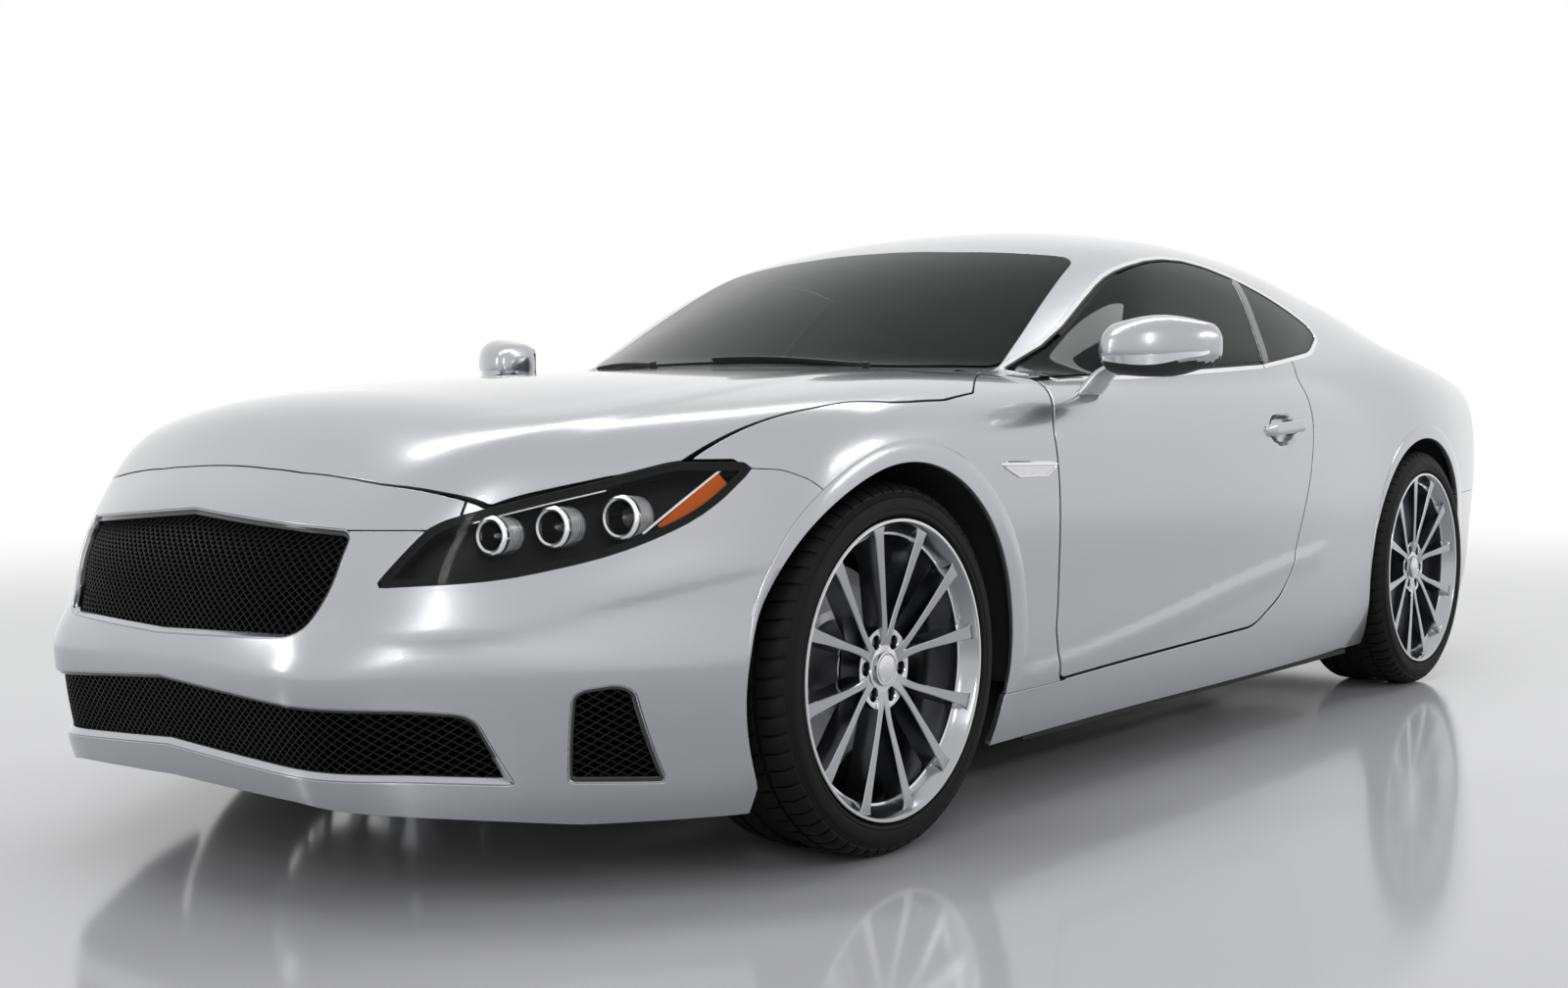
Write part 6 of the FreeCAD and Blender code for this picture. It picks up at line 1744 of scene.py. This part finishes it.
# %% Hinge arms and leaves
def flat_arm(route, thick, y, wide=8, boss=11):
    """A flat arm along side-view points, with a round boss at its pin."""
    shapes = [moved(lathe([(0, 5.4), (0, boss), (wide, boss), (wide, 5.4)], 32), route[0][0], y, route[0][1])]
    for (x0, z0), (x1, z1) in zip(route, route[1:]):
        along = np.array([x1 - x0, z1 - z0], float)
        along /= np.linalg.norm(along)
        up = np.array([-along[1], along[0]]) * thick / 2
        start = np.array([x0, z0]) + along * (boss - 2 if (x0, z0) == route[0] else -2)
        end = np.array([x1, z1]) + along * 2
        corners = [start + up, end + up, end - up, start - up]
        shapes.append(loft([[(c[0], y + w, c[1]) for c in corners] for w in (0, wide)]))
    return joined(*shapes)


def beneath(x, y, depth):
    top = cast([x, y, 500.0], [0, 0, 1.0])
    return x, float(top[2]) - depth


hood_arm = flat_arm([(772, 903), (832, 903), beneath(870, 600, 15), beneath(960, 600, 15)], 12, 600)
boot_arm = flat_arm([(-1740, 1000), (-1782, 976), (-1852, 888), (-1930, 930), beneath(-2010, 400, 15),
                     beneath(-2060, 400, 15)], 12, 400)
solid("hood_arms", joined(hood_arm, flipped(hood_arm)), forged_metal, "hood_lid", 30)
solid("boot_arms", joined(boot_arm, flipped(boot_arm)), forged_metal, "boot", 30)
leaves = []
for z in (400, 740):
    leaves.append(loft([[(x, y, level) for x, y in ((776, 868), (815, 868), (815, 878), (776, 878))]
                        for level in (z - 17, z + 17)]))
    turned_boss = lathe([(-17, 4.5), (-17, 13.5), (17, 13.5), (17, 4.5)], 32)
    leaves.append(aimed(turned_boss, (815, 879, z), (0.0001, 0, 1)))
both_hands("door_hinge_leaves", joined(*leaves), forged_metal, "door_{side}", 30)

# %% Finishes of the pieces that keep their CAD shape
kept_finish = {"scuttle": black_plastic, "wipers": black_plastic, "arch_liners": underseal, "floor_pan": underseal,
               "front_frame": underseal, "rear_subframe": forged_metal, "engine_block": cast_metal,
               "front_suspension": cast_metal, "rear_suspension": cast_metal, "knuckle_front_left": cast_metal,
               "knuckle_front_right": cast_metal, "rear_hub_carriers": cast_metal, "exhaust": pipe_metal}
for name, material in kept_finish.items():
    node = nodes[name]
    for slot_place in node.material_slots:
        slot_place.material = material
    if not node.material_slots:
        node.data.materials.append(material)
print("kept pieces", len(kept_finish))

# %% [markdown]
# ## Studio
# A pale floor that runs to white, long soft lamps overhead and at the sides for the highlights, and a camera a
# little below a standing viewer's waist. The white of floor and world is added only for camera and reflections,
# so the lamps stay at a plain level.

# %% Floor and world
def seen_directly(tree):
    """1 for rays from the camera, and for those that gloss and glass send on."""
    rays = add(tree, "ShaderNodeLightPath")
    total = rays.outputs["Is Camera Ray"]
    for title in ("Is Glossy Ray", "Is Transmission Ray"):
        either = add(tree, "ShaderNodeMath")
        either.operation = "MAXIMUM"
        tree.links.new(total, either.inputs[0])
        tree.links.new(rays.outputs[title], either.inputs[1])
        total = either.outputs["Value"]
    return either


def pale_floor(tone, near, far):
    """A smooth floor round the car that runs out to white."""
    dark, light = (tone * 0.97, tone * 0.97, tone * 0.99), (tone, tone, tone * 1.02)
    material, tree, shader, place = mottled("pale_floor", dark, light, (0.09, 0.13), 3, Specular_IOR_Level=0.5)
    white = add(tree, "ShaderNodeEmission")
    distance = add(tree, "ShaderNodeVectorMath")
    distance.operation = "LENGTH"
    spread = add(tree, "ShaderNodeMapRange", From_Min=near, From_Max=far)
    spread.interpolation_type = "SMOOTHSTEP"
    share = add(tree, "ShaderNodeMath")
    share.operation = "MULTIPLY"
    mix = add(tree, "ShaderNodeMixShader")
    wire(tree, (place, "Object", distance, 0), (distance, "Value", spread, "Value"), (spread, "Result", share, 0),
         (seen_directly(tree), "Value", share, 1), (share, "Value", mix, "Fac"), (shader, "BSDF", mix, 1),
         (white, "Emission", mix, 2), (mix, "Shader", tree.nodes["Material Output"], "Surface"))
    return material


bpy.ops.mesh.primitive_plane_add(size=120)
floor = bpy.context.object
floor.name = "floor"
floor.data.materials.append(pale_floor(0.68, 3.4, 9.5))
world = bpy.context.scene.world or bpy.data.worlds.new("studio")
bpy.context.scene.world = world
world.use_nodes = True
sky = world.node_tree
sky.nodes.clear()
shown = add(sky, "ShaderNodeBackground", Color=(1, 1, 1, 1), Strength=1.0)
soft = add(sky, "ShaderNodeBackground", Color=(0.96, 0.97, 1.0, 1), Strength=0.42)
choose = add(sky, "ShaderNodeMixShader")
wire(sky, (seen_directly(sky), "Value", choose, "Fac"), (soft, "Background", choose, 1),
     (shown, "Background", choose, 2), (choose, "Shader", add(sky, "ShaderNodeOutputWorld"), "Surface"))


# %% Lamps
def soft_lamp(name, place, aim, size, power):
    data = bpy.data.lights.new(name, "AREA")
    data.shape = "RECTANGLE"
    data.size, data.size_y = size
    data.energy = power
    lamp = new_object(name, data)
    lamp.location = place
    lamp.rotation_euler = (Vector(aim) - Vector(place)).to_track_quat("-Z", "Y").to_euler()


soft_lamp("overhead", (0.3, 0.2, 4.2), (0.2, 0, 0.5), (6.5, 0.5), 80)
soft_lamp("front_left", (6.0, 4.6, 3.2), (1.0, 0.3, 0.5), (0.3, 3.2), 40)
soft_lamp("side_left", (-1.5, 5.6, 2.6), (-0.3, 0.5, 0.6), (4.6, 0.25), 45)
soft_lamp("nose_fill", (6.5, -2.4, 2.4), (2.0, 0, 0.5), (0.6, 2.6), 35)

# %% Camera
camera_data = bpy.data.cameras.new("camera")
camera_data.lens, camera_data.sensor_width = 42.96, 36
camera = new_object("camera", camera_data)
EYE = (4.2812, 2.8979, 0.8408)               # metres
YAW, PITCH_DOWN, ROLL = 3.81486, -0.0461036, -0.0051314
looks = Vector((math.cos(PITCH_DOWN) * math.cos(YAW), math.cos(PITCH_DOWN) * math.sin(YAW), math.sin(PITCH_DOWN)))
across = Vector((math.sin(YAW), -math.cos(YAW), 0))
upright = across.cross(looks)
right = across * math.cos(ROLL) + upright * math.sin(ROLL)
up = -across * math.sin(ROLL) + upright * math.cos(ROLL)
turn = Matrix((right, up, -looks)).transposed().to_4x4()
camera.matrix_world = Matrix.Translation(EYE) @ turn
bpy.context.scene.camera = camera
bpy.context.scene.view_settings.view_transform = "Standard"
